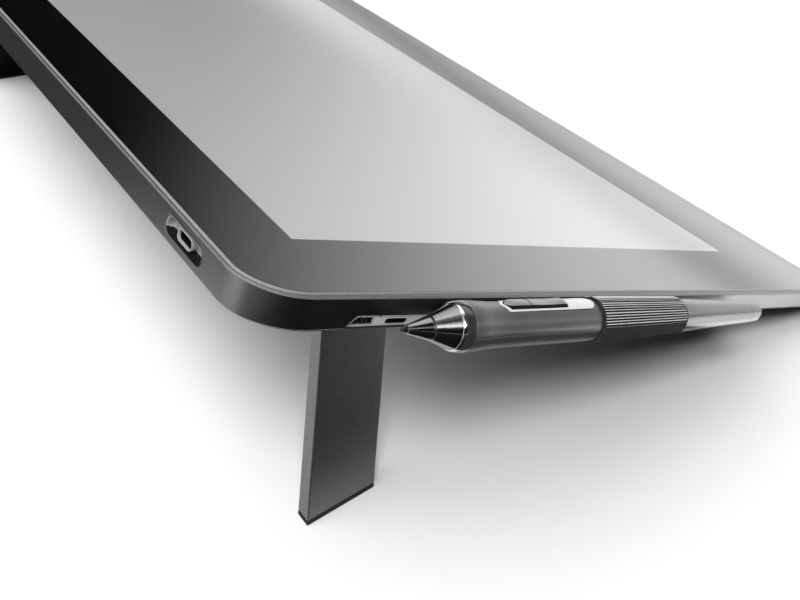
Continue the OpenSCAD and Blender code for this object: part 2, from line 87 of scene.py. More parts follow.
def joint(name):
    return next(j for j in frame["joints"] if j["name"] == name)


def tilt_of(axis):
    """Angle above the desk, in degrees, of an axis that lies in the YZ plane."""
    return math.degrees(math.atan2(abs(axis[2]), abs(axis[1])))


TILT = tilt_of(joint("leg_left_fold")["axis"])
PEN_TILT = tilt_of(joint("pen_pull")["axis"])
TAPER = TILT - PEN_TILT

tilted = turn(TILT, "X")
panel_low, panel_high = box_in(tilted, "lcd_panel")
glass_top = box_in(tilted, "cover_glass")[1].z
screen_middle = (panel_low + panel_high) / 2
FLAT_HOME = tilted @ Matrix.Translation(
    Vector((screen_middle.x, screen_middle.y, glass_top)) * MM
)

PEN_LEN = 157.0
along_pen = turn(90 + PEN_TILT, "X")
nib_low, nib_high = box_in(along_pen, "pen_nib")
nib_middle = (nib_low + nib_high) / 2
pen_start = box_in(along_pen, "pen_tail_cap")[1].z - PEN_LEN
PEN_HOME = along_pen @ Matrix.Translation(Vector((nib_middle.x, nib_middle.y, pen_start)) * MM)

FLAT = Place(FLAT_HOME, Matrix.Identity(4))
PEN = Place(PEN_HOME, Matrix.Identity(4))


def flat_box(node):
    return box_in(FLAT_HOME, node)


def pen_box(node):
    return box_in(PEN_HOME, node)


# ---------- sizes of the tablet, in millimetres ----------

body_low, body_high = flat_box("frame")
BODY_W = body_high.x - body_low.x
BODY_D = body_high.y - body_low.y
MIDDLE_Y = (body_high.y + body_low.y) / 2
REAR_Y = body_high.y
LEFT_X = body_low.x
RIGHT_X = body_high.x
RIM_Z = body_high.z
WALL_BOTTOM = body_low.z
WALL = 1.8
WALL_SIDE = LEFT_X - (FLAT_HOME.inverted() @ PEN_HOME.translation).x / MM
CORNER_R = 18.0
GLASS_INSET = flat_box("cover_glass")[0].x - LEFT_X
PRINT_Z = flat_box("bezel_print")[1].z
PANEL_Z = flat_box("lcd_panel")[1].z
COVER_T = 1.6
CORNER_STEPS = 20

# Places on the tablet: u runs along the wall, v is its height and w goes into it.
# u is x on the rear wall, y on the left wall and minus y on the right wall.
REAR_WALL = inside(FLAT, shift(y=REAR_Y), turn(90, "X"))
LEFT_WALL = inside(FLAT, shift(x=LEFT_X), turn(90, "Z"), turn(90, "X"))
RIGHT_WALL = inside(FLAT, shift(x=RIGHT_X), turn(-90, "Z"), turn(90, "X"))
UNDERSIDE = inside(FLAT, shift(y=REAR_Y, z=WALL_BOTTOM), turn(-TAPER, "X"))
MIRROR = Matrix.Scale(-1, 4, (1, 0, 0))
NO_MIRROR = Matrix.Identity(4)


def wall_bottom(y):
    """Height of the side wall's lower edge, which rises towards the front."""
    return WALL_BOTTOM + math.tan(math.radians(TAPER)) * (REAR_Y - y)


# ---------- outlines ----------


def arc(x, y, radius, start, end, steps):
    """Points of an arc about (x, y), both ends included; angles in degrees."""
    angles = [math.radians(start + (end - start) * i / steps) for i in range(steps + 1)]
    return [(x + radius * math.cos(a), y + radius * math.sin(a)) for a in angles]


def rounded_rect(width, depth, radius, middle=(0.0, 0.0), steps=CORNER_STEPS):
    """An anticlockwise outline with steps edges to each corner."""
    radius = min(radius, width / 2 - 0.001, depth / 2 - 0.001)
    x, y = width / 2 - radius, depth / 2 - radius
    points = []
    for cx, cy, start in [(x, y, 0), (-x, y, 90), (-x, -y, 180), (x, -y, 270)]:
        points += arc(middle[0] + cx, middle[1] + cy, radius, start, start + 90, steps)
    return points


def stadium(width, height, middle=(0.0, 0.0), steps=10):
    return rounded_rect(width, height, height / 2, middle, steps)


def circle(radius, middle=(0.0, 0.0), steps=48):
    return arc(middle[0], middle[1], radius, 0, 360 - 360 / steps, steps - 1)


def grown(outline, distance):
    """An anticlockwise outline moved outwards, or inwards if distance is negative."""
    count = len(outline)
    points = []
    for i, here in enumerate(outline):
        before = Vector(here) - Vector(outline[i - 1])
        after = Vector(outline[(i + 1) % count]) - Vector(here)
        normals = [Vector((edge.y, -edge.x)).normalized() for edge in (before, after)]
        middle = (normals[0] + normals[1]).normalized()
        points.append(tuple(Vector(here) + middle * distance / max(middle.dot(normals[0]), 0.2)))
    return points


def eased(points):
    """A path of (a, b, cut) with each corner rounded off, starting cut away from it."""
    steps = 4
    path = []
    for i, (a, b, cut) in enumerate(points):
        here = Vector((a, b))
        if not cut:
            path.append((a, b))
            continue
        before = Vector(points[i - 1][:2]) - here
        after = Vector(points[(i + 1) % len(points)][:2]) - here
        start = here + before.normalized() * min(cut, before.length / 2)
        end = here + after.normalized() * min(cut, after.length / 2)
        for k in range(steps + 1):
            t = k / steps
            path.append(tuple(start * (1 - t) ** 2 + here * 2 * t * (1 - t) + end * t**2))
    return path


def curve_value(stations, at):
    """Smooth value at a place between (place, value) stations."""
    last = len(stations) - 1
    slopes = []
    for i in range(last + 1):
        a, b = stations[max(i - 1, 0)], stations[min(i + 1, last)]
        slopes.append((b[1] - a[1]) / (b[0] - a[0]))
    at = min(max(at, stations[0][0]), stations[last][0])
    i = next(k for k in range(last) if at <= stations[k + 1][0])
    (a, low), (b, high) = stations[i], stations[i + 1]
    width = b - a
    t = (at - a) / width
    return (
        (2 * t**3 - 3 * t**2 + 1) * low
        + (t**3 - 2 * t**2 + t) * width * slopes[i]
        + (3 * t**2 - 2 * t**3) * high
        + (t**3 - t**2) * width * slopes[i + 1]
    )


def between(low, high, steps):
    return [low + (high - low) * i / steps for i in range(steps + 1)]


# ---------- meshes ----------


def solid(name, place, vertices, faces, materials=(), face_slots=None):
    """An object from points in millimetres in a place. face_slots holds each face's material."""
    mesh = bpy.data.meshes.new(name)
    mesh.from_pydata([(place.local @ Vector(v)) * MM for v in vertices], [], faces)
    for made in materials:
        mesh.materials.append(made)
    if face_slots:
        mesh.polygons.foreach_set("material_index", face_slots)
    build = bmesh.new()
    build.from_mesh(mesh)
    bmesh.ops.remove_doubles(build, verts=build.verts, dist=0.0005 * MM)
    bmesh.ops.recalc_face_normals(build, faces=build.faces)
    build.to_mesh(mesh)
    build.free()
    piece = bpy.data.objects.new(name, mesh)
    piece.matrix_world = place.home
    bpy.context.scene.collection.objects.link(piece)
    return piece


def loft(name, place, sections, materials=(), tube=False, bands=()):
    """A skin over rings of points. A tube's last ring joins its first; other lofts get caps.
    bands are the ring numbers whose faces, up to the next ring, take the second material."""
    count, rings = len(sections[0]), len(sections)
    faces, slots = [], []
    for ring in range(rings if tube else rings - 1):
        here, there = ring * count, (ring + 1) % rings * count
        for i in range(count):
            j = (i + 1) % count
            faces.append((here + i, here + j, there + j, there + i))
            slots.append(1 if ring in bands else 0)
    if not tube:
        faces.append(tuple(reversed(range(count))))
        faces.append(tuple(range((rings - 1) * count, rings * count)))
        slots += [0, 0]
    points = [p for section in sections for p in section]
    return solid(name, place, points, faces, materials, slots)


def stack(name, place, outline, levels, materials=(), bands=()):
    """A closed solid from one flat outline at (growth, depth) levels along the place's w."""
    sections = []
    for growth, depth in levels:
        sections.append([(u, v, depth) for u, v in grown(outline, growth)])
    return loft(name, place, sections, materials, bands=bands)


def turned(name, place, profile, materials=(), groove=0.0, steps=96):
    """A body of revolution about the place's w from a closed profile of (along, radius).
    groove is the depth of a fine parting line on the two sides."""
    seam_half_width = 0.9
    angles = {360 * i / steps: 0.0 for i in range(steps)}
    if groove:
        for side in (0, 180):
            angles[side] = groove
            angles[(side - seam_half_width) % 360] = 0.0
            angles[side + seam_half_width] = 0.0
    sections = []
    for along, radius in profile:
        ring = []
        for angle in sorted(angles):
            r = radius - angles[angle]
            a = math.radians(angle)
            ring.append((r * math.cos(a), r * math.sin(a), along))
        sections.append(ring)
    return loft(name, place, sections, materials, tube=True)


def apply_modifiers(piece):
    """Gives the piece the mesh that its modifiers make."""
    shown = piece.evaluated_get(bpy.context.evaluated_depsgraph_get())
    mesh = bpy.data.meshes.new_from_object(shown)
    piece.modifiers.clear()
    piece.data = mesh


def combine(piece, other, operation="DIFFERENCE"):
    """Cuts other out of piece, or adds or keeps their shared part. other is used up."""
    step = piece.modifiers.new("combine", "BOOLEAN")
    step.operation = operation
    step.solver = "EXACT"
    step.object = other
    apply_modifiers(piece)
    bpy.data.objects.remove(other)
    return piece


def joined(name, pieces):
    """One object from several that share a home; they are used up."""
    build = bmesh.new()
    for piece in pieces:
        build.from_mesh(piece.data)
    mesh = bpy.data.meshes.new(name)
    for made in pieces[0].data.materials:
        mesh.materials.append(made)
    build.to_mesh(mesh)
    build.free()
    whole = bpy.data.objects.new(name, mesh)
    whole.matrix_world = pieces[0].matrix_world.copy()
    bpy.context.scene.collection.objects.link(whole)
    for piece in pieces:
        bpy.data.objects.remove(piece)
    return whole


def soften(piece, width, segments):
    """Rounds every sharp edge."""
    step = piece.modifiers.new("soften", "BEVEL")
    step.width = width * MM
    step.segments = segments
    step.limit_method = "ANGLE"
    step.angle_limit = math.radians(50)
    step.harden_normals = False
    apply_modifiers(piece)
    return piece


def smooth(piece):
    """Shades smooth, apart from sharp edges, with large faces kept flat beside soft ones."""
    piece.data.shade_smooth()
    piece.data.set_sharp_from_angle(angle=math.radians(35))
    step = piece.modifiers.new("normals", "WEIGHTED_NORMAL")
    step.keep_sharp = True
    step.weight = 50
    apply_modifiers(piece)


def settle(piece, body, slot, *nodes):
    """Finishes a piece: shading, the body that it rides on and the nodes it replaces. The slot is
    not used.
    """
    smooth(piece)
    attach(piece, body)
    if nodes:
        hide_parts(*nodes)
    return piece


# ---------- materials ----------


def plain(name, colour, roughness, metallic=0.0, **sockets):
    """A Principled material. Other sockets are named with underscores for spaces."""
    made = bpy.data.materials.new(name)
    made.use_nodes = True
    shader = made.node_tree.nodes["Principled BSDF"]
    shader.inputs["Base Color"].default_value = (*colour, 1)
    shader.inputs["Roughness"].default_value = roughness
    shader.inputs["Metallic"].default_value = metallic
    for socket, value in sockets.items():
        shader.inputs[socket.replace("_", " ")].default_value = value
    return made


def grey(value):
    return (value, value, value * 1.02)


def feed(made, socket, output):
    shader = made.node_tree.nodes["Principled BSDF"]
    made.node_tree.links.new(output, shader.inputs[socket])


def pattern(made, kind, scale, stretch=(1, 1, 1), **settings):
    """A procedural texture in the piece's own frame; scale counts features per metre."""
    nodes, links = made.node_tree.nodes, made.node_tree.links
    where = nodes.new("ShaderNodeTexCoord")
    mapping = nodes.new("ShaderNodeMapping")
    mapping.inputs["Scale"].default_value = stretch
    texture = nodes.new(kind)
    texture.inputs["Scale"].default_value = scale
    for setting, value in settings.items():
        if setting in texture.inputs:
            texture.inputs[setting].default_value = value
        else:
            setattr(texture, setting, value)
    links.new(where.outputs["Object"], mapping.inputs["Vector"])
    links.new(mapping.outputs["Vector"], texture.inputs["Vector"])
    return texture.outputs[0]


def noise(made, scale, stretch=(1, 1, 1), detail=4.0):
    return pattern(made, "ShaderNodeTexNoise", scale, stretch, Detail=detail)


def spread(made, output, low, high):
    """The middle of a texture's range, stretched to run from low to high."""
    node = made.node_tree.nodes.new("ShaderNodeMapRange")
    node.inputs["From Min"].default_value = 0.3
    node.inputs["From Max"].default_value = 0.7
    node.inputs["To Min"].default_value = low
    node.inputs["To Max"].default_value = high
    made.node_tree.links.new(output, node.inputs["Value"])
    return node.outputs["Result"]


def vary_roughness(made, output, low, high):
    feed(made, "Roughness", spread(made, output, low, high))


def vary_colour(made, output, dark, light):
    """Runs the base colour from dark to light with a texture's output."""
    node = made.node_tree.nodes.new("ShaderNodeMix")
    node.data_type = "RGBA"
    colour_sockets = [s for s in node.inputs if s.type == "RGBA"]
    colour_sockets[0].default_value = (*dark, 1)
    colour_sockets[1].default_value = (*light, 1)
    made.node_tree.links.new(spread(made, output, 0, 1), node.inputs["Factor"])
    feed(made, "Base Color", next(s for s in node.outputs if s.type == "RGBA"))


def raise_surface(made, *layers):
    """Bumps from (texture output, height in millimetres) layers."""
    before = None
    for output, height in layers:
        node = made.node_tree.nodes.new("ShaderNodeBump")
        node.inputs["Distance"].default_value = height * MM
        made.node_tree.links.new(output, node.inputs["Height"])
        if before:
            made.node_tree.links.new(before, node.inputs["Normal"])
        before = node.outputs["Normal"]
    feed(made, "Normal", before)


def vary(made, output, greys, roughness):
    """One texture drives both a grey colour and the roughness, each between two values."""
    vary_colour(made, output, grey(greys[0]), grey(greys[1]))
    vary_roughness(made, output, *roughness)
    return made


def graphite_anodising():
    """Bead-blasted dark aluminium of the frame."""
    made = plain("graphite_anodising", grey(0.17), 0.4, metallic=1.0)
    grain = noise(made, 3800, detail=3)
    vary_roughness(made, grain, 0.3, 0.38)
    vary_colour(made, noise(made, 1400), grey(0.16), grey(0.19))
    raise_surface(made, (grain, 0.008))
    return made


def leg_anodising():
    """The legs' satin face, a little lighter and coarser than the frame's."""
    made = plain("leg_anodising", grey(0.17), 0.42, metallic=1.0)
    grain = noise(made, 3000, detail=3)
    vary_roughness(made, grain, 0.34, 0.44)
    vary_colour(made, noise(made, 1100), grey(0.16), grey(0.2))
    raise_surface(made, (grain, 0.012))
    return made


def cut_edge():
    """The satin cut chamfer round the frame's rim."""
    made = plain("cut_edge", grey(0.24), 0.34, metallic=0.5)
    return vary(made, noise(made, 900, detail=2), (0.22, 0.26), (0.3, 0.4))


def etched_glass():
    """Clear glass with a fine anti-glare etch."""
    made = plain("etched_glass", (1, 1, 1), 0.1, IOR=1.5, Transmission_Weight=1.0)
    vary_roughness(made, noise(made, 40, detail=1), 0.098, 0.102)
    return made


def ground_glass_edge():
    """The glass's ground and fire-polished edge, which scatters light."""
    made = plain("ground_glass_edge", grey(0.26), 0.3)
    return vary(made, noise(made, 1500, detail=2), (0.24, 0.28), (0.26, 0.36))


def black_ink():
    """Gloss black print on the back of the glass."""
    made = plain("black_ink", grey(0.07), 0.16, metallic=1.0)
    return vary(made, noise(made, 40, detail=1), (0.068, 0.072), (0.155, 0.165))


def lit_panel():
    """A plain light grey picture on the panel."""
    made = plain("lit_panel", grey(0.03), 0.5, Emission_Strength=1.0)
    shader = made.node_tree.nodes["Principled BSDF"]
    shader.inputs["Emission Color"].default_value = (0.47, 0.47, 0.475, 1)
    pixels = pattern(made, "ShaderNodeTexVoronoi", 5600)
    return vary(made, pixels, (0.02, 0.04), (0.4, 0.6))


def moulded_black():
    """Spark-textured dark plastic of the rear cover and small inner parts."""
    made = plain("moulded_black", grey(0.022), 0.55)
    vary_roughness(made, noise(made, 900), 0.48, 0.66)
    vary_colour(made, noise(made, 300), grey(0.018), grey(0.028))
    raise_surface(made, (pattern(made, "ShaderNodeTexVoronoi", 2600), 0.02))
    return made


def rubber():
    """Dull, slightly dusty black rubber of the feet and the legs' pads."""
    made = plain("rubber", grey(0.018), 0.8, Specular_IOR_Level=0.3)
    raise_surface(made, (noise(made, 5000), 0.01))
    return vary(made, noise(made, 1600), (0.014, 0.026), (0.7, 0.92))


def satin_metal(name, tone, grain_along=(1, 30, 30), rough=0.32, metallic=1.0):
    """Rolled or plated sheet with a directional grain."""
    made = plain(name, grey(tone), rough, metallic=metallic)
    lines = noise(made, 700, stretch=grain_along, detail=3)
    raise_surface(made, (lines, 0.002))
    return vary(made, lines, (tone * 0.88, tone * 1.05), (rough - 0.08, rough + 0.1))


def circuit_board():
    """Green solder mask over copper tracks."""
    made = plain("circuit_board", (0.02, 0.12, 0.06), 0.35)
    tracks = pattern(made, "ShaderNodeTexBrick", 260)
    vary_colour(made, tracks, (0.015, 0.09, 0.045), (0.03, 0.17, 0.08))
    vary_roughness(made, noise(made, 800), 0.3, 0.45)
    raise_surface(made, (tracks, 0.03))
    return made


def film_stack():
    """White reflector and diffuser films of the backlight."""
    made = plain("film_stack", grey(0.8), 0.4)
    return vary(made, noise(made, 400), (0.74, 0.84), (0.34, 0.5))


def contact_gold():
    """Gold plate of the connector's contacts."""
    made = plain("contact_gold", (0.9, 0.62, 0.25), 0.25, metallic=1.0)
    vary_roughness(made, noise(made, 4000), 0.2, 0.34)
    return made


def turned_chrome(name, tone, roughness, scale, **coat):
    """Plated metal with the fine rings that turning leaves; tone and roughness are ranges."""
    made = plain(name, grey(sum(tone) / 2), sum(roughness) / 2, metallic=1.0, **coat)
    return vary(made, noise(made, scale, stretch=(0.2, 0.2, 8), detail=2), tone, roughness)


def piano_black():
    """Black lacquer of the pen's gloss band."""
    made = plain("piano_black", grey(0.035), 0.12, Coat_Weight=0.8, Coat_Roughness=0.05)
    return vary(made, noise(made, 600), (0.03, 0.04), (0.1, 0.2))


def soft_touch():
    """Grey rubberised coat of the pen's grip."""
    made = plain("soft_touch", grey(0.04), 0.32, Specular_IOR_Level=1.0, IOR=1.6)
    raise_surface(made, (noise(made, 7000, detail=2), 0.006))
    return vary(made, noise(made, 160), (0.036, 0.044), (0.31, 0.38))


def barrel_paint():
    """Satin silver-grey paint of the pen's rear barrel."""
    made = plain("barrel_paint", grey(0.15), 0.26, metallic=1.0)
    return vary(made, noise(made, 2500, detail=2), (0.14, 0.155), (0.24, 0.28))


def silver_trim():
    """Silver paint of the plate round the keys."""
    made = plain("silver_trim", grey(0.74), 0.34)
    return vary(made, noise(made, 2500, stretch=(1, 1, 0.2)), (0.71, 0.77), (0.3, 0.4))


def key_satin():
    """Dark satin plastic of the keys' tops."""
    made = plain("key_satin", grey(0.2), 0.3, Specular_IOR_Level=0.8)
    grain = noise(made, 5000, detail=2)
    raise_surface(made, (grain, 0.004))
    return vary(made, grain, (0.19, 0.21), (0.26, 0.36))


def painted_shade_black(name):
    """Painted shade: near-black for the keys' steep sides and the linings of the port's recess and
    mouth, which sit in shade.
    """
    made = plain(name, grey(0.004), 0.6, Specular_IOR_Level=0.15)
    return vary(made, noise(made, 2000), (0.003, 0.006), (0.5, 0.7))


def nib_plastic():
    """Black nib plastic with fine scuffs along it."""
    made = plain("nib_plastic", grey(0.01), 0.22, Specular_IOR_Level=0.7)
    return vary(made, noise(made, 3000, stretch=(1, 1, 0.3)), (0.008, 0.014), (0.18, 0.3))


def weave(made):
    """Cross threads fine enough to read as a weave on the loop's ribs."""
    return pattern(made, "ShaderNodeTexWave", 620, bands_direction="Z", Distortion=1.5)


def webbing():
    """Black woven elastic with a little pale lint."""
    made = plain("webbing", grey(0.012), 0.8, Specular_IOR_Level=0.15)
    lint = noise(made, 2200, stretch=(1, 1, 0.5))
    raise_surface(made, (weave(made), 0.05), (lint, 0.03))
    return vary(made, lint, (0.003, 0.035), (0.66, 0.86))


def rib_painted_sheen():
    """Painted highlight on the tops of the webbing's ribs, which run along the pen: a light grey,
    shinier skin where the ridges catch the light.
    """
    made = plain("rib_painted_sheen", grey(0.6), 0.5)
    raise_surface(made, (weave(made), 0.04))
    return vary(made, noise(made, 2600), (0.7, 0.95), (0.4, 0.55))


def black_thread():
    """Twisted black sewing thread."""
    made = plain("black_thread", grey(0.012), 0.8, Sheen_Weight=0.2)
    twist = pattern(made, "ShaderNodeTexWave", 3000, Distortion=2.0)
    vary_colour(made, twist, grey(0.008), grey(0.02))
    raise_surface(made, (twist, 0.03))
    return made


GRAPHITE = graphite_anodising()
LEG_GRAPHITE = leg_anodising()
CUT_EDGE = cut_edge()
GLASS = etched_glass()
GLASS_EDGE = ground_glass_edge()
MOULDED = moulded_black()
RUBBER = rubber()
STEEL = satin_metal("satin_steel", 0.6)
PLATED = satin_metal("plated_shell", 0.42, grain_along=(1, 8, 1), rough=0.3, metallic=0.2)
PLATE_METAL = satin_metal("plate_metal", 0.52, grain_along=(10, 1, 10), metallic=0.1)
RECESS_METAL = satin_metal("recess_metal", 0.3, grain_along=(1, 1, 1), rough=0.4, metallic=0.2)
THREAD = black_thread()

# CAD nodes that keep their own mesh: inner parts and the layers seen through the glass
node_materials = {
    "bezel_print": black_ink(),
    "lcd_panel": lit_panel(),
    "backlight": film_stack(),
    "digitizer_board": circuit_board(),
    "port_board": circuit_board(),
    "mainboard": circuit_board(),
    "shield_plate": satin_metal("shield_metal", 0.6),
    "heat_spreader": satin_metal("spreader_metal", 0.55),
    "power_switch": MOULDED,
    "hinge_pin_left": STEEL,
    "hinge_pin_right": STEEL,
    "hinge_washers": STEEL,
    "loop_tab": MOULDED,
    "pen_key_pin": STEEL,
    "pen_core": MOULDED,
}
for node_name, made in node_materials.items():
    for material_slot in frame["nodes"][node_name].material_slots:
        material_slot.material = made


# ---------- tablet: frame and glass ----------


def body_ring(inset, height):
    """The body's outline drawn in by inset; height is a number or a function of y."""
    outline = rounded_rect(
        BODY_W - 2 * inset, BODY_D - 2 * inset, CORNER_R - inset, (0, MIDDLE_Y)
    )
    return [(x, y, height(y) if callable(height) else height) for x, y in outline]


def lifted(amount):
    return lambda y: wall_bottom(y) + amount


SCREW_COLUMNS = (LEFT_X + 19, -62, 62, RIGHT_X - 19)
SCREW_ROWS = (REAR_Y - 18.5, body_low.y + 27)
SCREW_SPOTS = [(x, y) for x in SCREW_COLUMNS for y in SCREW_ROWS]
BOSS_R = 3.0
BOSS_BOTTOM = -9.0

port_low, port_high = flat_box("port_bezel")
PORT_W = port_high.x - port_low.x
PORT_H = port_high.z - port_low.z
PORT_MIDDLE = ((port_low.x + port_high.x) / 2, (port_low.z + port_high.z) / 2)

button_low, button_high = flat_box("power_button")
BUTTON_MIDDLE = (-(button_low.y + button_high.y) / 2, (button_low.z + button_high.z) / 2)
BUTTON_W = 12.0
BUTTON_H = 3.0

plate_low, plate_high = flat_box("side_plate")
NOTCH_REAR = plate_high.y - 0.05
NOTCH_FRONT = plate_low.y + 0.05
NOTCH_TOP = plate_high.z + 0.05
NOTCH_SLOPE = 3.4
NOTCH_DEPTH = plate_low.x - LEFT_X
PLATE_T = plate_high.x - plate_low.x

notch_outline = [
    (NOTCH_FRONT, WALL_BOTTOM - 0.5),
    (NOTCH_REAR, WALL_BOTTOM - 0.5),
    (NOTCH_REAR, wall_bottom(NOTCH_REAR)),
    (NOTCH_REAR - NOTCH_SLOPE, NOTCH_TOP),
    (NOTCH_FRONT + NOTCH_SLOPE, NOTCH_TOP),
    (NOTCH_FRONT, wall_bottom(NOTCH_FRONT)),
]


def chamfered_hole(name, place, outline, depth, chamfer, materials=()):
    """A cutter for a hole with a chamfered mouth, from outside the wall to a depth. The
    chamfer takes the second material."""
    levels = [(chamfer + 1, -1), (0, chamfer), (0, depth)]
    return stack(name, place, outline, levels, materials, bands=[0])


def build_frame():
    """The rim and side walls, with the holes for the port, notch, button and pen loop."""
    lip = GLASS_INSET - 0.15
    # (inset, height) from beside the glass over the rim, down the wall and back up inside
    rings = [
        (lip, PRINT_Z),
        (lip, RIM_Z - 0.1),
        (lip - 0.15, RIM_Z),
        (0.62, RIM_Z),
        (0.08, RIM_Z - 0.52),
        (0.0, RIM_Z - 0.66),
        (0.0, lifted(0.55)),
        (0.06, lifted(0.3)),
        (0.3, lifted(0.06)),
        (0.5, lifted(0.0)),
        (WALL, lifted(0.0)),
        (WALL, PRINT_Z),
    ]
    sections = [body_ring(inset, height) for inset, height in rings]
    skins = [GRAPHITE, CUT_EDGE]
    shell = loft("frame_shell", FLAT, sections, skins, tube=True, bands=[3, 7])
    port = stadium(PORT_W + 0.1, PORT_H + 0.1, PORT_MIDDLE)
    button = stadium(BUTTON_W + 0.3, BUTTON_H + 0.3, BUTTON_MIDDLE)
    for name, place, outline, chamfer in [
        ("port_cut", REAR_WALL, port, 0.12),
        ("notch_cut", LEFT_WALL, notch_outline, 0.2),
        ("button_cut", RIGHT_WALL, button, 0.2),
    ]:
        combine(shell, chamfered_hole(name, place, outline, WALL + 1, chamfer, skins))
    # The slot that the pen loop's tab comes out of
    tab_low, tab_high = pen_box("loop_tab")
    beside_pen = inside(PEN, shift(x=WALL_SIDE), turn(90, "Z"), turn(90, "X"))
    slot_middle = (0, (tab_low.z + tab_high.z) / 2)
    slot = rounded_rect(2.0, tab_high.z - tab_low.z + 1, 0.4, slot_middle, steps=4)
    levels = [(1, -1), (0, 0.1), (0, WALL + 1)]
    return combine(shell, stack("slot_cut", beside_pen, slot, levels))


def build_frame_ledge():
    """Inner ledge that carries the display stack, with the eight screw bosses."""
    ledge_t, gap, thread_r, thread_deep = 1.1, 0.5, 1.05, 5
    outline = rounded_rect(BODY_W - 2 * WALL, BODY_D - 2 * WALL, CORNER_R - WALL, (0, MIDDLE_Y))
    ledge = stack("ledge", FLAT, outline, [(0, PANEL_Z), (0, PANEL_Z - ledge_t)], [GRAPHITE])
    opening = rounded_rect(
        panel_high.x - panel_low.x + 2 * gap, panel_high.y - panel_low.y + 2 * gap, 1.0
    )
    combine(ledge, stack("opening", FLAT, opening, [(0, 1), (0, BOSS_BOTTOM)]))
    for x, y in SCREW_SPOTS:
        boss = circle(BOSS_R, (x, y), 32)
        levels = [(0, PANEL_Z - ledge_t / 2), (0, BOSS_BOTTOM)]
        combine(ledge, stack("boss", FLAT, boss, levels), "UNION")
    for x, y in SCREW_SPOTS:
        hole = circle(thread_r, (x, y), 24)
        levels = [(0, BOSS_BOTTOM - 1), (0, BOSS_BOTTOM + thread_deep)]
        combine(ledge, stack("hole", FLAT, hole, levels))
    return ledge


def build_glass():
    """The glass reaches through the ink to the panel, as the clear bonding film does."""
    bonded = PANEL_Z - 0.02
    # (inset, height) from the panel up to the rounded upper edge
    rings = [
        (WALL + 0.1, bonded),
        (WALL + 0.1, PRINT_Z),
        (GLASS_INSET, PRINT_Z),
        (GLASS_INSET, -0.62),
        (GLASS_INSET + 0.12, -0.36),
        (GLASS_INSET + 0.36, -0.12),
        (GLASS_INSET + 0.66, -0.015),
        (GLASS_INSET + 0.95, 0.0),
    ]
    sections = [body_ring(inset, height) for inset, height in rings]
    return loft("glass_plate", FLAT, sections, [GLASS, GLASS_EDGE], bands=[2, 3, 4, 5])


settle(build_frame(), "tablet", "frame", "frame")
settle(build_frame_ledge(), "tablet", "frame")
settle(build_glass(), "tablet", "cover_glass", "cover_glass")


# ---------- tablet: rear cover, screws and feet ----------

BELLY_H = 7.05
BELLY_INSET = 16.0
BELLY_INSET_FRONT = 8.0

hinge_at = FLAT_HOME.inverted() @ Vector(joint("leg_left_fold")["pos_m"]) / MM
HINGE_X, HINGE_Z = hinge_at.x, hinge_at.z
LEG_LEAN = joint("leg_left_fold")["range_deg"][1] - 90
LEFT_LEG = inside(FLAT, shift(HINGE_X, 0, HINGE_Z), turn(LEG_LEAN, "Y"))
pin_low, pin_high = flat_box("hinge_pin_left")
PIN_R = (pin_high.z - pin_low.z) / 2
leg_low, leg_high = flat_box("leg_left")
LEG_FRONT, LEG_REAR = leg_low.y, leg_high.y
LEG_T = 5.8
LEG_GAP = 0.6
LEG_REACH = 80.545
POCKET_ROOF = LEG_T / 2 + 0.5

# Height of the screw heads' seats, well inside the cover
SCREW_FACE = WALL_BOTTOM - BELLY_H + 5.6


def dish_section(depth, inset):
    """Outline of the dished underside at a share of its depth, in the underside's place."""
    drawn_in = depth * (BELLY_INSET - inset / 2) + inset
    rear = -drawn_in
    front = -BODY_D + inset + depth * (BELLY_INSET_FRONT - inset / 2)
    width = BODY_W - 2 * drawn_in
    middle = (0, (rear + front) / 2)
    return rounded_rect(width, rear - front, CORNER_R - inset, middle)


def dish(name, levels, inset, materials=()):
    """A closed dish from (share of depth, extra inset, drop) levels."""
    sections = []
    for depth, extra, drop in levels:
        outline = grown(dish_section(depth, inset), -extra)
        sections.append([(x, y, -drop) for x, y in outline])
    return loft(name, UNDERSIDE, sections, materials)


def box_cutter(name, place, low, high, materials=()):
    """A plain box between two corners, to cut with or for the smallest ribs and contacts."""
    outline = [(low[0], low[1]), (high[0], low[1]), (high[0], high[1]), (low[0], high[1])]
    return stack(name, place, outline, [(0, low[2]), (0, high[2])], materials)


def pocket_outline():
    """Section (x, z) of the space that a leg folds into, with the slanted stop it leans on."""
    lean = math.radians(LEG_LEAN)
    far_below, stop_gap, knuckle_gap, end_gap = 30, 0.1, 0.5, 1.5
    stop = Vector((-math.cos(lean), math.sin(lean))) * (LEG_T / 2 + stop_gap)
    stop_foot = stop + Vector((-math.sin(lean), -math.cos(lean))) * far_below
    return [
        tuple(stop),
        tuple(stop_foot),
        (LEG_REACH + end_gap, -far_below),
        (LEG_REACH + end_gap, POCKET_ROOF),
        (stop.x - knuckle_gap, POCKET_ROOF),
        (stop.x - knuckle_gap, stop.y),
    ]


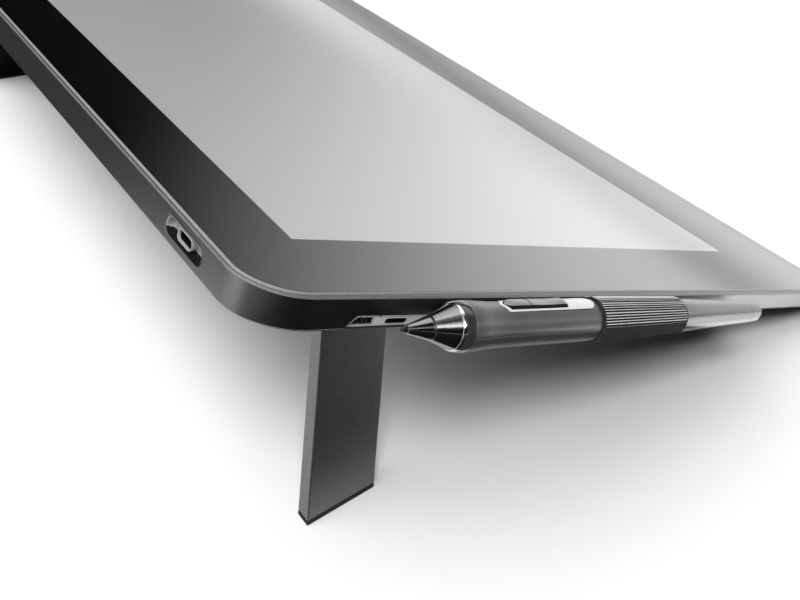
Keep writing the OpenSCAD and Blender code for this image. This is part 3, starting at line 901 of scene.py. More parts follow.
def build_rear_cover():
    """The moulded dish, hollow apart from the housings of the legs and the screw posts."""
    outer_levels = [
        (0.0, 0.55, 0.0),
        (0.0, 0.55, 0.22),
        (0.05, 0.05, 0.55),
        (0.5, 0.0, 0.5 * BELLY_H),
        (0.86, 0.0, 0.86 * BELLY_H),
        (0.95, 0.35, 0.945 * BELLY_H),
        (1.0, 1.2, 0.99 * BELLY_H),
        (1.0, 2.4, BELLY_H),
    ]
    inner_levels = [(0.0, 0.0, -1.0), (0.0, 0.0, 0.0), (1.0, 0.0, BELLY_H - COVER_T)]
    cover = dish("cover_shell", outer_levels, 0.0, [MOULDED])
    hollow = dish("hollow", inner_levels, COVER_T)
    side, thick_side = LEG_GAP + 1.4, LEG_GAP + 4.0
    outer_end, inner_end, far_below = -5.5, 4.5, -20
    hinges = [Place(FLAT_HOME, m @ shift(HINGE_X, 0, HINGE_Z)) for m in (NO_MIRROR, MIRROR)]
    for hinge in hinges:
        walls_low = (outer_end, LEG_FRONT - side, far_below)
        walls_high = (LEG_REACH + 3, LEG_REAR + side, POCKET_ROOF + 1.4)
        combine(hollow, box_cutter("walls", hinge, walls_low, walls_high))
        ends_low = (outer_end, LEG_FRONT - thick_side, far_below)
        ends_high = (inner_end, LEG_REAR + thick_side, LEG_T / 2)
        combine(hollow, box_cutter("ends", hinge, ends_low, ends_high))
    post_levels = [(0, -60), (0, BOSS_BOTTOM)]
    for spot in SCREW_SPOTS:
        combine(hollow, stack("post", FLAT, circle(BOSS_R + 1, spot, 24), post_levels))
    combine(cover, hollow)
    pocket_levels = [(0, -LEG_REAR - LEG_GAP), (0, -LEG_FRONT + LEG_GAP)]
    for hinge in hinges:
        across = inside(hinge, turn(90, "X"))
        combine(cover, stack("pocket", across, pocket_outline(), pocket_levels))
    recess_r = 2.4
    recess_levels = [(0.0, SCREW_FACE), (0.0, SCREW_FACE - 3.4), (3.0, SCREW_FACE - 6.4)]
    for spot in SCREW_SPOTS:
        combine(cover, stack("recess", FLAT, circle(recess_r, spot, 32), recess_levels))
    return cover


def build_screws():
    """Eight pan-head screws with a six-sided socket."""
    head_r, head_h, shaft_r, shaft_to = 2.2, 1.6, 1.0, -5.0
    bore_r, socket_r, socket_deep = 0.3, 1.0, 0.9
    top = SCREW_FACE - head_h
    profile = eased(
        [
            (top, bore_r, 0),
            (top, head_r, 0.45),
            (SCREW_FACE, head_r, 0.1),
            (SCREW_FACE, shaft_r, 0),
            (shaft_to - 0.4, shaft_r, 0.3),
            (shaft_to, bore_r, 0),
        ]
    )
    core_levels = [(0, top + socket_deep), (0, shaft_to)]
    socket_levels = [(0.25, top - 0.1), (0, top + 0.2), (0, top + socket_deep)]
    screws = []
    for x, y in SCREW_SPOTS:
        at = inside(FLAT, shift(x, y))
        screw = turned("screw", at, profile, [STEEL], steps=32)
        core = circle(bore_r + 0.01, steps=32)
        combine(screw, stack("core", at, core, core_levels), "UNION")
        combine(screw, stack("socket", at, circle(socket_r, steps=6), socket_levels))
        screws.append(screw)
    return joined("screws", screws)


def trim_at_desk(piece):
    """Takes away what is below the desk plane and closes the cut."""
    to_local = piece.matrix_world.inverted()
    build = bmesh.new()
    build.from_mesh(piece.data)
    bmesh.ops.bisect_plane(
        build,
        geom=build.verts[:] + build.edges[:] + build.faces[:],
        plane_co=to_local @ Vector((0, 0, 0)),
        plane_no=(to_local.to_3x3() @ UP),
        clear_inner=True,
    )
    bmesh.ops.holes_fill(build, edges=build.edges)
    bmesh.ops.recalc_face_normals(build, faces=build.faces)
    build.to_mesh(piece.data)
    build.free()
    return piece


def build_foot(node):
    """A rubber strip with rounded ends and softened edges."""
    to_underside = Matrix.Translation(Vector((0, REAR_Y, WALL_BOTTOM)) * MM) @ turn(-TAPER, "X")
    low, high = box_in(FLAT_HOME @ to_underside, node)
    foot_w, thickness = 9.0, 2.1
    face = -BELLY_H - thickness
    outline = stadium(high.x - low.x, foot_w, ((low.x + high.x) / 2, (low.y + high.y) / 2))
    levels = [(0, -BELLY_H), (0, face + 0.6), (-0.15, face + 0.22), (-0.5, face)]
    return stack(node.replace("foot", "rubber_foot"), UNDERSIDE, outline, levels, [RUBBER])


settle(build_rear_cover(), "tablet", "rear_cover", "rear_cover")
settle(build_screws(), "tablet", "screw", "cover_screws")
settle(trim_at_desk(build_foot("foot_front")), "tablet", "rubber", "foot_front")
for foot in ("foot_rear_left", "foot_rear_right"):
    settle(build_foot(foot), "tablet", "rubber", foot)


# ---------- tablet: connector recess, side notch and power button ----------

receptacle_low, receptacle_high = flat_box("usb_receptacle")
RECEPTACLE_W = receptacle_high.x - receptacle_low.x
RECEPTACLE_H = receptacle_high.z - receptacle_low.z
SETBACK = REAR_Y - receptacle_high.y
RECEPTACLE_BACK = REAR_Y - receptacle_low.y


def build_port_bezel():
    """A recess with a flat floor, which sweeps up to the mouth along its lower side; the deep
    faces on that side are painted near-black as shade.
    """
    outer = stadium(PORT_W, PORT_H, PORT_MIDDLE)
    mouth = stadium(RECEPTACLE_W + 0.1, RECEPTACLE_H + 0.1, PORT_MIDDLE)
    lip_end, floor_depth, back = 0.4, 2.0, 3.8
    side, sweep = 0.7, 1.25
    shade_painted_below = PORT_MIDDLE[1] - 1.1

    def flat_ring(outline, depth):
        return [(u, v, depth) for u, v in outline]

    def swept_ring(share):
        """A ring on the way from the recess's side to its floor."""
        points = []
        for u, v in grown(outer, -side - sweep * share):
            low = min(max((PORT_MIDDLE[1] - v) / (PORT_H / 2 - side - sweep), 0), 1)
            sharp = lip_end + (floor_depth - lip_end) * min(1, share / 0.15)
            swept = lip_end + (floor_depth - lip_end) * math.sin(math.radians(90 * share))
            points.append((u, v, sharp + (swept - sharp) * low))
        return points

    lip = [(0.0, 0.32), (-0.1, 0.08), (-0.22, 0.0), (-0.45, 0.02), (-0.62, 0.16)]
    sections = [flat_ring(grown(outer, growth), depth) for growth, depth in lip]
    sections += [swept_ring(share) for share in (0.0, 0.08, 0.16, 0.3, 0.45, 0.6, 0.8, 1.0)]
    sections.append(flat_ring(mouth, floor_depth + 0.15))
    sections.append(flat_ring(mouth, back))
    sections.append(flat_ring(outer, back))
    skins = [RECESS_METAL, GRAPHITE, painted_shade_black("recess_painted_shade")]
    recess = loft("port_recess", REAR_WALL, sections, skins, tube=True, bands=[0, 1, 2])
    # Deep faces on the recess's lower side take the painted shade
    into_wall = REAR_WALL.local.inverted()
    for polygon in recess.data.polygons:
        u, v, depth = into_wall @ polygon.center / MM
        if depth > lip_end + 0.02 and v < shade_painted_below:
            polygon.material_index = 2
    return recess


def build_receptacle():
    """A USB-C shell with a flared collar, a closed back and a mouth whose inner wall is painted
    near-black as shade.
    """
    outline = stadium(RECEPTACLE_W, RECEPTACLE_H, PORT_MIDDLE, steps=14)
    levels = [
        (0.0, RECEPTACLE_BACK),
        (0.0, SETBACK + 0.3),
        (0.2, SETBACK + 0.2),
        (0.22, SETBACK - 0.5),
        (0.14, SETBACK - 0.62),
        (0.0, SETBACK - 0.6),
        (-0.3, SETBACK + 0.2),
        (-0.3, RECEPTACLE_BACK - 1.5),
    ]
    # Painted shade on the inner wall of the shell's mouth
    mouth_shade = painted_shade_black("mouth_painted_shade")
    return stack("usb_shell", REAR_WALL, outline, levels, [PLATED, mouth_shade], bands=[6])


def build_tongue():
    """The tongue with a row of gold contacts on each face."""
    half_w, half_t, front = 3.35, 0.35, SETBACK + 1.2
    contacts, pitch, half_contact, proud = 12, 0.5, 0.13, 0.04
    contact_from, contact_to = front + 0.45, front + 3.5
    outline = rounded_rect(2 * half_w, 2 * half_t, 0.1, PORT_MIDDLE, steps=3)
    levels = [(-0.12, front), (0, front + 0.2), (0, RECEPTACLE_BACK - 1)]
    pieces = [stack("tongue_body", REAR_WALL, outline, levels, [MOULDED, contact_gold()])]
    for row in (-1, 1):
        for i in range(contacts):
            u = PORT_MIDDLE[0] + (i - (contacts - 1) / 2) * pitch
            v = PORT_MIDDLE[1] + row * half_t
            low = (u - half_contact, v - proud, contact_from)
            high = (u + half_contact, v + proud, contact_to)
            strip = box_cutter("strip", REAR_WALL, low, high)
            for polygon in strip.data.polygons:
                polygon.material_index = 1
            pieces.append(strip)
    return joined("usb_tongue", pieces)


vent_low, vent_high = flat_box("side_vent")
VENT_REAR = vent_high.y - 1.0
VENT_FRONT = vent_low.y + 1.0
VENT_TOP = vent_high.z - 0.4
VENT_LOW = vent_low.z + 0.4
SLOT_W, SLOT_H = 7.6, 1.8
SLOT_MIDDLE = (78.8, -8.5)
PINHOLE = (84.6, -6.8)
PINHOLE_R = 0.35

# The vent's rear end follows the notch's slope
vent_outline = [
    (VENT_FRONT, VENT_LOW),
    (VENT_REAR, VENT_LOW),
    (VENT_REAR - 2.2, VENT_TOP),
    (VENT_FRONT, VENT_TOP),
]


def build_side_plate():
    """The light metal plate in the notch, with its vent, pinhole and round-ended slot."""
    front, back = NOTCH_DEPTH, NOTCH_DEPTH + PLATE_T
    inner = [
        (NOTCH_FRONT + 0.1, wall_bottom(NOTCH_FRONT) + 0.05),
        (NOTCH_REAR - 0.1, wall_bottom(NOTCH_REAR) + 0.05),
        (NOTCH_REAR - NOTCH_SLOPE - 0.05, NOTCH_TOP - 0.05),
        (NOTCH_FRONT + NOTCH_SLOPE + 0.05, NOTCH_TOP - 0.05),
    ]
    levels = [(-0.12, front), (0, front + 0.12), (0, back)]
    plate = stack("notch_plate", LEFT_WALL, inner, levels, [PLATE_METAL])
    at = inside(LEFT_WALL, shift(z=front))
    slot = stadium(SLOT_W, SLOT_H, SLOT_MIDDLE)
    for outline in (vent_outline, slot):
        combine(plate, chamfered_hole("hole", at, outline, PLATE_T + 1, 0.14))
    combine(plate, chamfered_hole("pin", at, circle(PINHOLE_R, PINHOLE, 24), PLATE_T + 1, 0.06))
    return plate


def build_side_vent():
    """Louvres behind the plate's vent: upright ribs in a dark surround."""
    front = NOTCH_DEPTH + PLATE_T
    deep = vent_high.x - LEFT_X
    box = [
        (vent_low.y, vent_low.z),
        (vent_high.y, vent_low.z),
        (vent_high.y, vent_high.z),
        (vent_low.y, vent_high.z),
    ]
    surround = stack("vent_surround", LEFT_WALL, box, [(0, front), (0, deep)], [MOULDED])
    combine(surround, stack("void", LEFT_WALL, vent_outline, [(0, front - 1), (0, deep - 0.4)]))
    ribs, half_rib = 5, 0.25
    pieces = [surround]
    for i in range(1, ribs):
        u = VENT_FRONT + i * (VENT_REAR - VENT_FRONT) / ribs
        low = (u - half_rib, VENT_LOW - 0.1, front + 0.15)
        high = (u + half_rib, VENT_TOP + 0.1, deep - 0.2)
        pieces.append(box_cutter("rib", LEFT_WALL, low, high, [MOULDED]))
    return joined("vent_louvres", pieces)


def build_button():
    """The power button's cap, with its flange and plunger inside the wall."""
    proud = button_high.x - RIGHT_X
    inner = WALL + 0.2
    outline = stadium(BUTTON_W, BUTTON_H, BUTTON_MIDDLE)
    levels = [
        (-0.55, -proud),
        (-0.2, -proud + 0.06),
        (-0.03, -proud + 0.25),
        (0, -proud + 0.5),
        (0, inner),
        (0.7, inner),
        (0.7, inner + 0.9),
        (-0.4, inner + 0.9),
    ]
    cap = stack("button_cap", RIGHT_WALL, outline, levels, [GRAPHITE])
    plunger = circle(1.0, BUTTON_MIDDLE, 24)
    rod = stack("rod", RIGHT_WALL, plunger, [(0, inner + 0.8), (-0.1, inner + 1.9)], [GRAPHITE])
    return combine(cap, rod, "UNION")


settle(build_port_bezel(), "tablet", "port_bezel", "port_bezel")
settle(build_receptacle(), "tablet", "receptacle", "usb_receptacle")
settle(build_tongue(), "tablet", "receptacle")
settle(build_side_plate(), "tablet", "side_plate", "side_plate")
settle(build_side_vent(), "tablet", "vent", "side_vent")
settle(build_button(), "power_button", "frame", "power_button")


# ---------- legs ----------


def drop_to(place, x, y, height):
    """The z, in a place, where the line through (x, y) meets a height above the desk."""
    start = place.home @ (place.local @ Vector((x, y, 0)) * MM)
    end = place.home @ (place.local @ Vector((x, y, 1)) * MM)
    return (height * MM - start.z) / (end.z - start.z)


def leg_section(place, y, low, high):
    """Closed outline of a leg at y, from one height above the desk up to its knuckle or
    to another height."""
    half = LEG_T / 2
    points = [(half, y, drop_to(place, half, y, low))]
    if high is None:
        points += [(x, y, z) for x, z in arc(0, 0, half, 0, 180, 24)]
    else:
        points += [(x, y, drop_to(place, x, y, high)) for x in (half, -half)]
    points.append((-half, y, drop_to(place, -half, y, low)))
    return points


PAD_T = 1.2


def build_leg(name, place, low, high, material):
    """A leg's bar with its bored knuckle, or a plain stretch of it if high is given."""
    sections = [leg_section(place, y, low, high) for y in (LEG_FRONT, LEG_REAR)]
    leg = loft(name, place, sections, [material])
    if high is None:
        across = inside(place, turn(90, "X"))
        levels = [(0, -LEG_REAR - 1), (0, -LEG_FRONT + 1)]
        combine(leg, stack("bore", across, circle(PIN_R + 0.05), levels))
        return soften(leg, 0.55, 3)
    return soften(leg, 0.35, 2)


for side, mirror in (("left", NO_MIRROR), ("right", MIRROR)):
    at = Place(FLAT_HOME, mirror @ LEFT_LEG.local)
    body = f"leg_{side}"
    settle(build_leg(f"leg_bar_{side}", at, PAD_T, None, LEG_GRAPHITE), body, "leg", f"leg_{side}")
    pad = build_leg(f"leg_rubber_{side}", at, 0.0, PAD_T, RUBBER)
    settle(pad, body, "rubber", f"leg_pad_{side}")


# ---------- pen ----------

CORE_R = pen_box("pen_core")[1].x + 0.05
NIB_R = 0.8
CONE_FROM = pen_box("pen_tip_cone")[0].z
CONE_STEP = pen_box("pen_front_cone")[0].z
RING_FROM, BAND_FROM = pen_box("pen_ring")[0].z, pen_box("pen_gloss_band")[0].z
GRIP_FROM, GRIP_TO = pen_box("pen_grip")[0].z, pen_box("pen_grip")[1].z
BARREL_TO = pen_box("pen_barrel")[1].z
GROOVE = 0.6
PLUG = CONE_STEP + GROOVE + 3

SMOKED_COAT = {"Coat_Weight": 0.4, "Coat_Roughness": 0.06}
PEN_CHROME = turned_chrome("pen_chrome", (0.26, 0.34), (0.13, 0.21), 900, **SMOKED_COAT)
BRIGHT_CHROME = turned_chrome("bright_chrome", (0.84, 0.93), (0.07, 0.15), 1200)
SOFT_TOUCH = soft_touch()
BARREL_PAINT = barrel_paint()
SILVER = silver_trim()
KEY_SATIN = key_satin()
# Painted shade for the keys' steep sides, which are the same plastic as their tops
KEY_SIDE_SHADE = painted_shade_black("key_side_painted_shade")

# Outer radius of the pen behind the gloss band: (distance from the nib, radius)
PEN_CURVE = [
    (GRIP_FROM, 7.12),
    (24.5, 7.02),
    (28, 6.74),
    (32, 6.52),
    (40, 6.4),
    (50, 6.35),
    (73, 6.2),
    (92, 5.78),
    (113.6, 5.3),
    (131, 4.53),
    (BARREL_TO, 3.75),
]


def pen_r(s):
    return curve_value(PEN_CURVE, s)


def build_nib():
    """A felt-like plastic nib, rounded at the tip, whose shaft runs back into the pen."""
    shaft_to = pen_box("pen_nib")[1].z
    tip = [(0.0, 0.03), (0.02, 0.18), (0.08, 0.33), (0.2, 0.46), (0.45, 0.58), (0.9, 0.7)]
    tip_at = pen_box("pen_nib")[0].z
    profile = [(tip_at + s, r) for s, r in tip + [(1.6, NIB_R)]] + [(shaft_to, NIB_R)]
    sections = [[(x, y, s) for x, y in circle(r, steps=40)] for s, r in profile]
    return loft("nib_stem", PEN, sections, [nib_plastic()])


def build_tip_cone():
    """The small front cone, with a rounded mouth round the nib."""
    hole = NIB_R + 0.05
    profile = eased(
        [
            (CONE_FROM + 0.9, hole, 0),
            (CONE_FROM, hole + 0.08, 0.08),
            (CONE_FROM, 1.3, 0.14),
            (CONE_FROM + 0.55, 1.42, 0.2),
            (CONE_FROM + 0.62, 1.36, 0.05),
            (CONE_FROM + 1.0, 1.48, 0.1),
            (CONE_STEP, 3.25, 0.14),
            (CONE_STEP, 2.4, 0),
            (PLUG, 2.4, 0),
            (PLUG, hole, 0),
        ]
    )
    return turned("tip_cone", PEN, profile, [PEN_CHROME])


def build_front_cone():
    """The larger cone behind a dark groove."""
    groove_end = CONE_STEP + GROOVE
    profile = eased(
        [
            (CONE_STEP + 0.02, 2.42, 0),
            (CONE_STEP + 0.02, 2.9, 0),
            (groove_end, 2.9, 0),
            (groove_end, 3.45, 0.16),
            (RING_FROM, 6.24, 0.05),
            (RING_FROM, CORE_R, 0),
            (PLUG, CORE_R, 0),
            (PLUG, 2.42, 0),
        ]
    )
    return turned("front_cone", PEN, profile, [PEN_CHROME])


def build_ring():
    """The bright ring, which flares from the cone to the gloss band."""
    profile = eased(
        [
            (RING_FROM, CORE_R, 0),
            (RING_FROM, 6.35, 0.1),
            (RING_FROM + 0.4, 6.58, 0.15),
            (BAND_FROM - 0.02, 6.78, 0.08),
            (BAND_FROM - 0.02, CORE_R, 0),
        ]
    )
    return turned("chrome_ring", PEN, profile, [BRIGHT_CHROME], steps=128)


def build_band():
    """The gloss band, the pen's widest part."""
    profile = eased(
        [
            (BAND_FROM, CORE_R, 0),
            (BAND_FROM, 6.8, 0.08),
            (BAND_FROM + 1.4, 7.06, 0.6),
            (GRIP_FROM - 0.02, 7.14, 0.1),
            (GRIP_FROM - 0.02, CORE_R, 0),
        ]
    )
    return turned("gloss_band", PEN, profile, [piano_black()], groove=0.09, steps=128)


# The pen's switch: a plate round a window with two keys, with heights from the pen's axis
ABOVE_PEN = inside(PEN, turn(-90, "X"))
PLATE_TIP, PLATE_SHOULDER, PLATE_END = 33.0, 35.0, 66.5
PLATE_HALF, PLATE_ROUND = 2.96, 3.2
PLATE_R = 6.62
PLATE_FLOOR = 5.85
WINDOW_TIP, WINDOW_SHOULDER, WINDOW_END = 34.1, 35.8, 58.2
WINDOW_HALF = 2.4
WINDOW_FLOOR = 4.25
KEY_HALF = 2.2
SPLIT = pen_box("pen_switch_front")[1].z + 0.15
key_pin_low, key_pin_high = pen_box("pen_key_pin")
key_pin_y = (key_pin_low.y + key_pin_high.y) / 2
KEY_HINGE = inside(PEN, shift(y=key_pin_y, z=SPLIT), turn(90, "Y"))


def half_outline(tip, shoulder, end, half, tail):
    """Right side of a switch outline as (across, along) runs from the tip to the tail."""
    runs = [((0.0, tip), (half, shoulder), 6), ((half, shoulder), (half, end), 14)]
    points = []
    for (x0, s0), (x1, s1), steps in runs:
        points += [(x0 + (x1 - x0) * i / steps, s0 + (s1 - s0) * i / steps) for i in range(steps)]
    return points + tail


def mirrored(half):
    """A closed outline from its right side, whose first and last points are on the middle."""
    return half + [(-x, s) for x, s in reversed(half[1:-1])]


round_end = [
    (PLATE_HALF * math.cos(math.radians(a)), PLATE_END + PLATE_ROUND * math.sin(math.radians(a)))
    for a in between(0, 90, 10)
]
square_end = [(x, WINDOW_END) for x in between(WINDOW_HALF, 0, 10)]
plate_half = half_outline(PLATE_TIP, PLATE_SHOULDER, PLATE_END, PLATE_HALF, round_end)
window_half = half_outline(WINDOW_TIP, WINDOW_SHOULDER, WINDOW_END, WINDOW_HALF, square_end)
plate_line, window_line = mirrored(plate_half), mirrored(window_half)


def pen_prism(name, line, low, high):
    """A prism through a switch outline of (across, along) points, between two heights."""
    outline = [(x, -s) for x, s in reversed(line)]
    return stack(name, ABOVE_PEN, outline, [(0, low), (0, high)])


def pen_shell(name, start, end, material, groove):
    """A hollow stretch of the pen between two stations."""
    edge, steps = 0.12, 60
    profile = [(start, CORE_R), (start, pen_r(start) - edge), (start + edge, pen_r(start + edge))]
    profile += [(s, pen_r(s)) for s in between(start + 3 * edge, end - 3 * edge, steps)]
    profile += [(end - edge, pen_r(end - edge)), (end, pen_r(end) - edge), (end, CORE_R)]
    return turned(name, PEN, profile, [material], groove=groove, steps=128)


def build_grip():
    """The soft grip with its parting lines, and the pocket for the switch."""
    grip = pen_shell("grip_sleeve", GRIP_FROM, GRIP_TO, SOFT_TOUCH, 0.08)
    combine(grip, pen_prism("pocket", plate_line, PLATE_FLOOR, 10))
    combine(grip, pen_prism("window", window_line, WINDOW_FLOOR, 10))
    seat_r = 0.42
    levels = [(0, key_pin_low.x), (0, key_pin_high.x)]
    return combine(grip, stack("pin_seat", KEY_HINGE, circle(seat_r, steps=24), levels))


def build_barrel():
    """The long rear barrel, which the loop holds."""
    return pen_shell("rear_barrel", GRIP_TO, BARREL_TO, BARREL_PAINT, 0.06)


def build_tail():
    """The chamfered tail, with a rounded turned edge."""
    profile = eased(
        [
            (BARREL_TO + 0.02, 0.03, 0),
            (BARREL_TO + 0.02, 3.72, 0.1),
            (PEN_LEN - 3.6, 3.5, 0.12),
            (PEN_LEN - 0.5, 1.85, 0.12),
            (PEN_LEN, 1.2, 0.1),
            (PEN_LEN, 0.03, 0),
        ]
    )
    sections = [[(x, y, s) for x, y in circle(r, steps=96)] for s, r in profile]
    return loft("tail_cap", PEN, sections, [BARREL_PAINT])


def build_switch_plate():
    """The silver plate round the keys, domed about the pen's axis, with softened edges."""

    def ring(share, radius):
        points = []
        for (x0, s0), (x1, s1) in zip(plate_line, window_line):
            x, s = x0 + (x1 - x0) * share, s0 + (s1 - s0) * share
            points.append((x, math.sqrt(radius**2 - x**2), s))
        return points

    def floor_ring(share):
        return [(x, min(y, PLATE_FLOOR + 0.02), s) for x, y, s in ring(share, PLATE_R)]

    crown = [(0.0, PLATE_R - 0.12), (0.06, PLATE_R)]
    crown += [(share, PLATE_R) for share in between(0.2, 0.8, 3)]
    crown += [(0.94, PLATE_R), (1.0, PLATE_R - 0.12)]
    sections = [floor_ring(0.0)] + [ring(*level) for level in crown] + [floor_ring(1.0)]
    return loft("switch_surround", PEN, sections, [SILVER], tube=True)


def key_section(s, half, crown, edge, floor):
    """Section of a key at a station: flat floor, sides that lean in and a domed top."""
    skirt_top, most_lean, edge_round = 6.2, 0.42, 0.08
    lean = min(most_lean, half / 3)
    low = min(skirt_top, edge - 0.3)
    right = [(half, floor, s), (half, low, s), (half - 0.08, low + 0.12, s)]
    top_half = half - lean
    for share in (1, 0.97, 0.86, 0.62, 0.36, 0.12):
        rise = (1 - share**2) * (crown - edge)
        corner = edge_round if share == 1 else 0.0
        right.append((top_half * share, edge - corner + rise, s))
    return right + [(-x, y, s) for x, y, s in reversed(right)]


def build_key(name, stations):
    """A key from (station, half width, crown height, edge height) rows."""
    floor, steepest_top = 5.5, 0.6
    sections = [key_section(s, half, crown, edge, floor) for s, half, crown, edge in stations]
    key = loft(name, PEN, sections, [KEY_SATIN, KEY_SIDE_SHADE])
    # The steep side faces take the painted shade; the tops keep the key's satin
    for polygon in key.data.polygons:
        if abs(polygon.normal.y) < steepest_top:
            polygon.material_index = 1
    return key


def knuckles(ranges, radius):
    """Round bars on the keys' hinge line, between pairs of places across the pen."""
    outline, skins = circle(radius, steps=32), [KEY_SATIN, KEY_SIDE_SHADE]
    bars = [
        stack("bar", KEY_HINGE, outline, [(0, low), (0, high)], skins) for low, high in ranges
    ]
    return joined("bars", bars)


def hinged(key, own, others):
    """Adds a key's own knuckles, clears the other key's and bores them for the pin."""
    knuckle_r, clear_r, bore_r = 0.8, 0.9, 0.45
    combine(key, knuckles(others, clear_r))
    combine(key, knuckles(own, knuckle_r), "UNION")
    return combine(key, knuckles([(-5, 5)], bore_r))


def build_front_key():
    """Short front key with a slanting, pointed front end."""
    stations = [
        (34.5, 0.3, 6.62, 6.6),
        (34.9, 0.95, 6.86, 6.74),
        (35.5, 1.75, 7.08, 6.86),
        (35.9, 2.05, 7.18, 6.92),
        (36.5, 2.18, 7.28, 6.98),
        (37.5, 2.2, 7.36, 7.02),
        (40.0, 2.2, 7.38, 7.04),
        (SPLIT - 1.0, 2.2, 7.34, 7.02),
        (SPLIT - 0.3, 2.2, 7.26, 6.98),
        (SPLIT - 0.15, 2.14, 7.12, 6.9),
    ]
    return hinged(build_key("key_front", stations), [(-0.7, 0.7)], [(-3, -0.7), (0.7, 3)])


def build_rear_key():
    """Longer rear key with a shallow dip for the fingertip."""
    stations = [
        (SPLIT + 0.15, 2.14, 7.12, 6.9),
        (SPLIT + 0.3, 2.2, 7.26, 6.98),
        (SPLIT + 1.0, 2.2, 7.32, 7.0),
        (47.0, 2.2, 7.14, 6.94),
        (50.5, 2.2, 7.02, 6.88),
        (54.0, 2.2, 7.2, 6.94),
        (56.0, 2.2, 7.37, 7.02),
        (57.1, 2.19, 7.36, 7.0),
        (57.7, 2.12, 7.18, 6.88),
        (57.97, 2.0, 6.86, 6.7),
    ]
    own = [(-KEY_HALF, -0.8), (0.8, KEY_HALF)]
    return hinged(build_key("key_rear", stations), own, [(-0.8, 0.8)])


settle(build_nib(), "nib", "nib", "pen_nib")
settle(build_tip_cone(), "pen", "cone", "pen_tip_cone")
settle(build_front_cone(), "pen", "cone", "pen_front_cone")
settle(build_ring(), "pen", "ring", "pen_ring")
settle(build_band(), "pen", "gloss_black", "pen_gloss_band")
settle(build_grip(), "pen", "grip", "pen_grip")
settle(build_barrel(), "pen", "barrel", "pen_barrel")
settle(build_tail(), "pen", "barrel", "pen_tail_cap")
settle(build_switch_plate(), "pen", "silver", "pen_switch_plate")
settle(build_front_key(), "front_key", "key", "pen_switch_front")
settle(build_rear_key(), "rear_key", "key", "pen_switch_rear")


# ---------- pen loop ----------

sleeve_low, sleeve_high = pen_box("loop_sleeve")
CREPT = 0.8
LOOP_FROM, LOOP_TO = sleeve_low.z - CREPT, sleeve_high.z
CLOTH_T = 0.34
CLOTH_GAP = 0.06
RIB_H = 0.5
RIB_PITCH = 0.72
RIBS_FROM, RIBS_TO = 30.0, 172.0
NECK_ANGLE = 32.0
NECK_GAP = 0.42


def loop_path(radius):
    """Centre line of the webbing's inner face round the pen: (x, y, nx, ny, angle) points
    from the slot in the wall, over the pen and back under it. nx, ny points outwards."""
    inside_wall, mouth_pull, wrap_pull = 1.2, 1.6, 1.2
    start = math.radians(NECK_ANGLE)
    leave = Vector((radius * math.cos(start), radius * math.sin(start)))
    tangent = Vector((-math.sin(start), math.cos(start)))
    mouth = Vector((WALL_SIDE + inside_wall, NECK_GAP))
    handles = (mouth - Vector((mouth_pull, 0)), leave - tangent * wrap_pull)
    neck = []
    for t in between(0, 1, 12)[:-1]:
        here = (
            mouth * (1 - t) ** 3
            + handles[0] * 3 * t * (1 - t) ** 2
            + handles[1] * 3 * t**2 * (1 - t)
            + leave * t**3
        )
        slope = (
            (handles[0] - mouth) * 3 * (1 - t) ** 2
            + (handles[1] - handles[0]) * 6 * t * (1 - t)
            + (leave - handles[1]) * 3 * t**2
        ).normalized()
        neck.append((here.x, here.y, slope.y, -slope.x, 0.0))
    wrap_steps = 300
    wrap = []
    for angle in between(NECK_ANGLE, 360 - NECK_ANGLE, wrap_steps):
        nx, ny = math.cos(math.radians(angle)), math.sin(math.radians(angle))
        wrap.append((radius * nx, radius * ny, nx, ny, angle))
    back = [(x, -y, nx, -ny, angle) for x, y, nx, ny, angle in reversed(neck)]
    return neck + wrap + back


def rib_height(angle, radius):
    """Height of the ribs at an angle round the pen; they fade out at both ends."""
    if not RIBS_FROM < angle < RIBS_TO:
        return 0.0
    along = math.radians(angle - RIBS_FROM) * radius
    top_fade, low_fade, sharpness = 6, 4, 1.4
    fade = min(1.0, (angle - RIBS_FROM) / top_fade, (RIBS_TO - angle) / low_fade)
    wave = 0.5 - 0.5 * math.cos(2 * math.pi * along / RIB_PITCH)
    return RIB_H * fade * wave**sharpness


def build_sleeve():
    """Ribbed elastic webbing: one strip from the slot in the wall, round the pen and back."""
    middle_r = pen_r((LOOP_FROM + LOOP_TO) / 2)
    hem, sheen_from = 0.8, 0.68 * RIB_H
    ends = [(0.0, 0.35), (0.1, 0.75), (0.3, 1.0), (hem - 0.15, 1.0), (hem, 0.92)]
    stations = [(LOOP_FROM + s, share, 0.0 if s < hem - 0.1 else 0.8) for s, share in ends]
    for s in between(LOOP_FROM + hem + 0.3, LOOP_TO - hem - 0.3, 14):
        stations.append((s, 0.95, 1.0))
    stations += [
        (LOOP_TO - s, share, 0.0 if s < hem - 0.1 else 0.8) for s, share in reversed(ends)
    ]
    sections = []
    for s, thickness, ribs in stations:
        radius = pen_r(s) + CLOTH_GAP
        outer, inner = [], []
        for x, y, nx, ny, angle in loop_path(radius):
            height = CLOTH_T * thickness + ribs * rib_height(angle, middle_r)
            outer.append((x + nx * height, y + ny * height, s))
            inner.append((x, y, s))
        sections.append(outer + inner[::-1])
    sleeve = loft("webbing_sleeve", PEN, sections, [webbing(), rib_painted_sheen()])
    inverse = PEN.local.inverted()
    # The faces high on the ribs take the painted highlight
    for polygon in sleeve.data.polygons:
        x, y, s = inverse @ polygon.center / MM
        over_cloth = math.hypot(x, y) - pen_r(s) - CLOTH_GAP - CLOTH_T
        if over_cloth > sheen_from:
            polygon.material_index = 1
    return sleeve


def tube(name, place, path, radius, materials):
    """A thin six-sided thread along a path of points."""
    sides = 6
    sections = []
    for i, here in enumerate(path):
        ahead = Vector(path[min(i + 1, len(path) - 1)]) - Vector(path[max(i - 1, 0)])
        turn_to = ahead.to_track_quat("Z", "Y")
        ring = [turn_to @ Vector((x, y, 0)) + Vector(here) for x, y in circle(radius, steps=sides)]
        sections.append(ring)
    return loft(name, place, sections, materials)


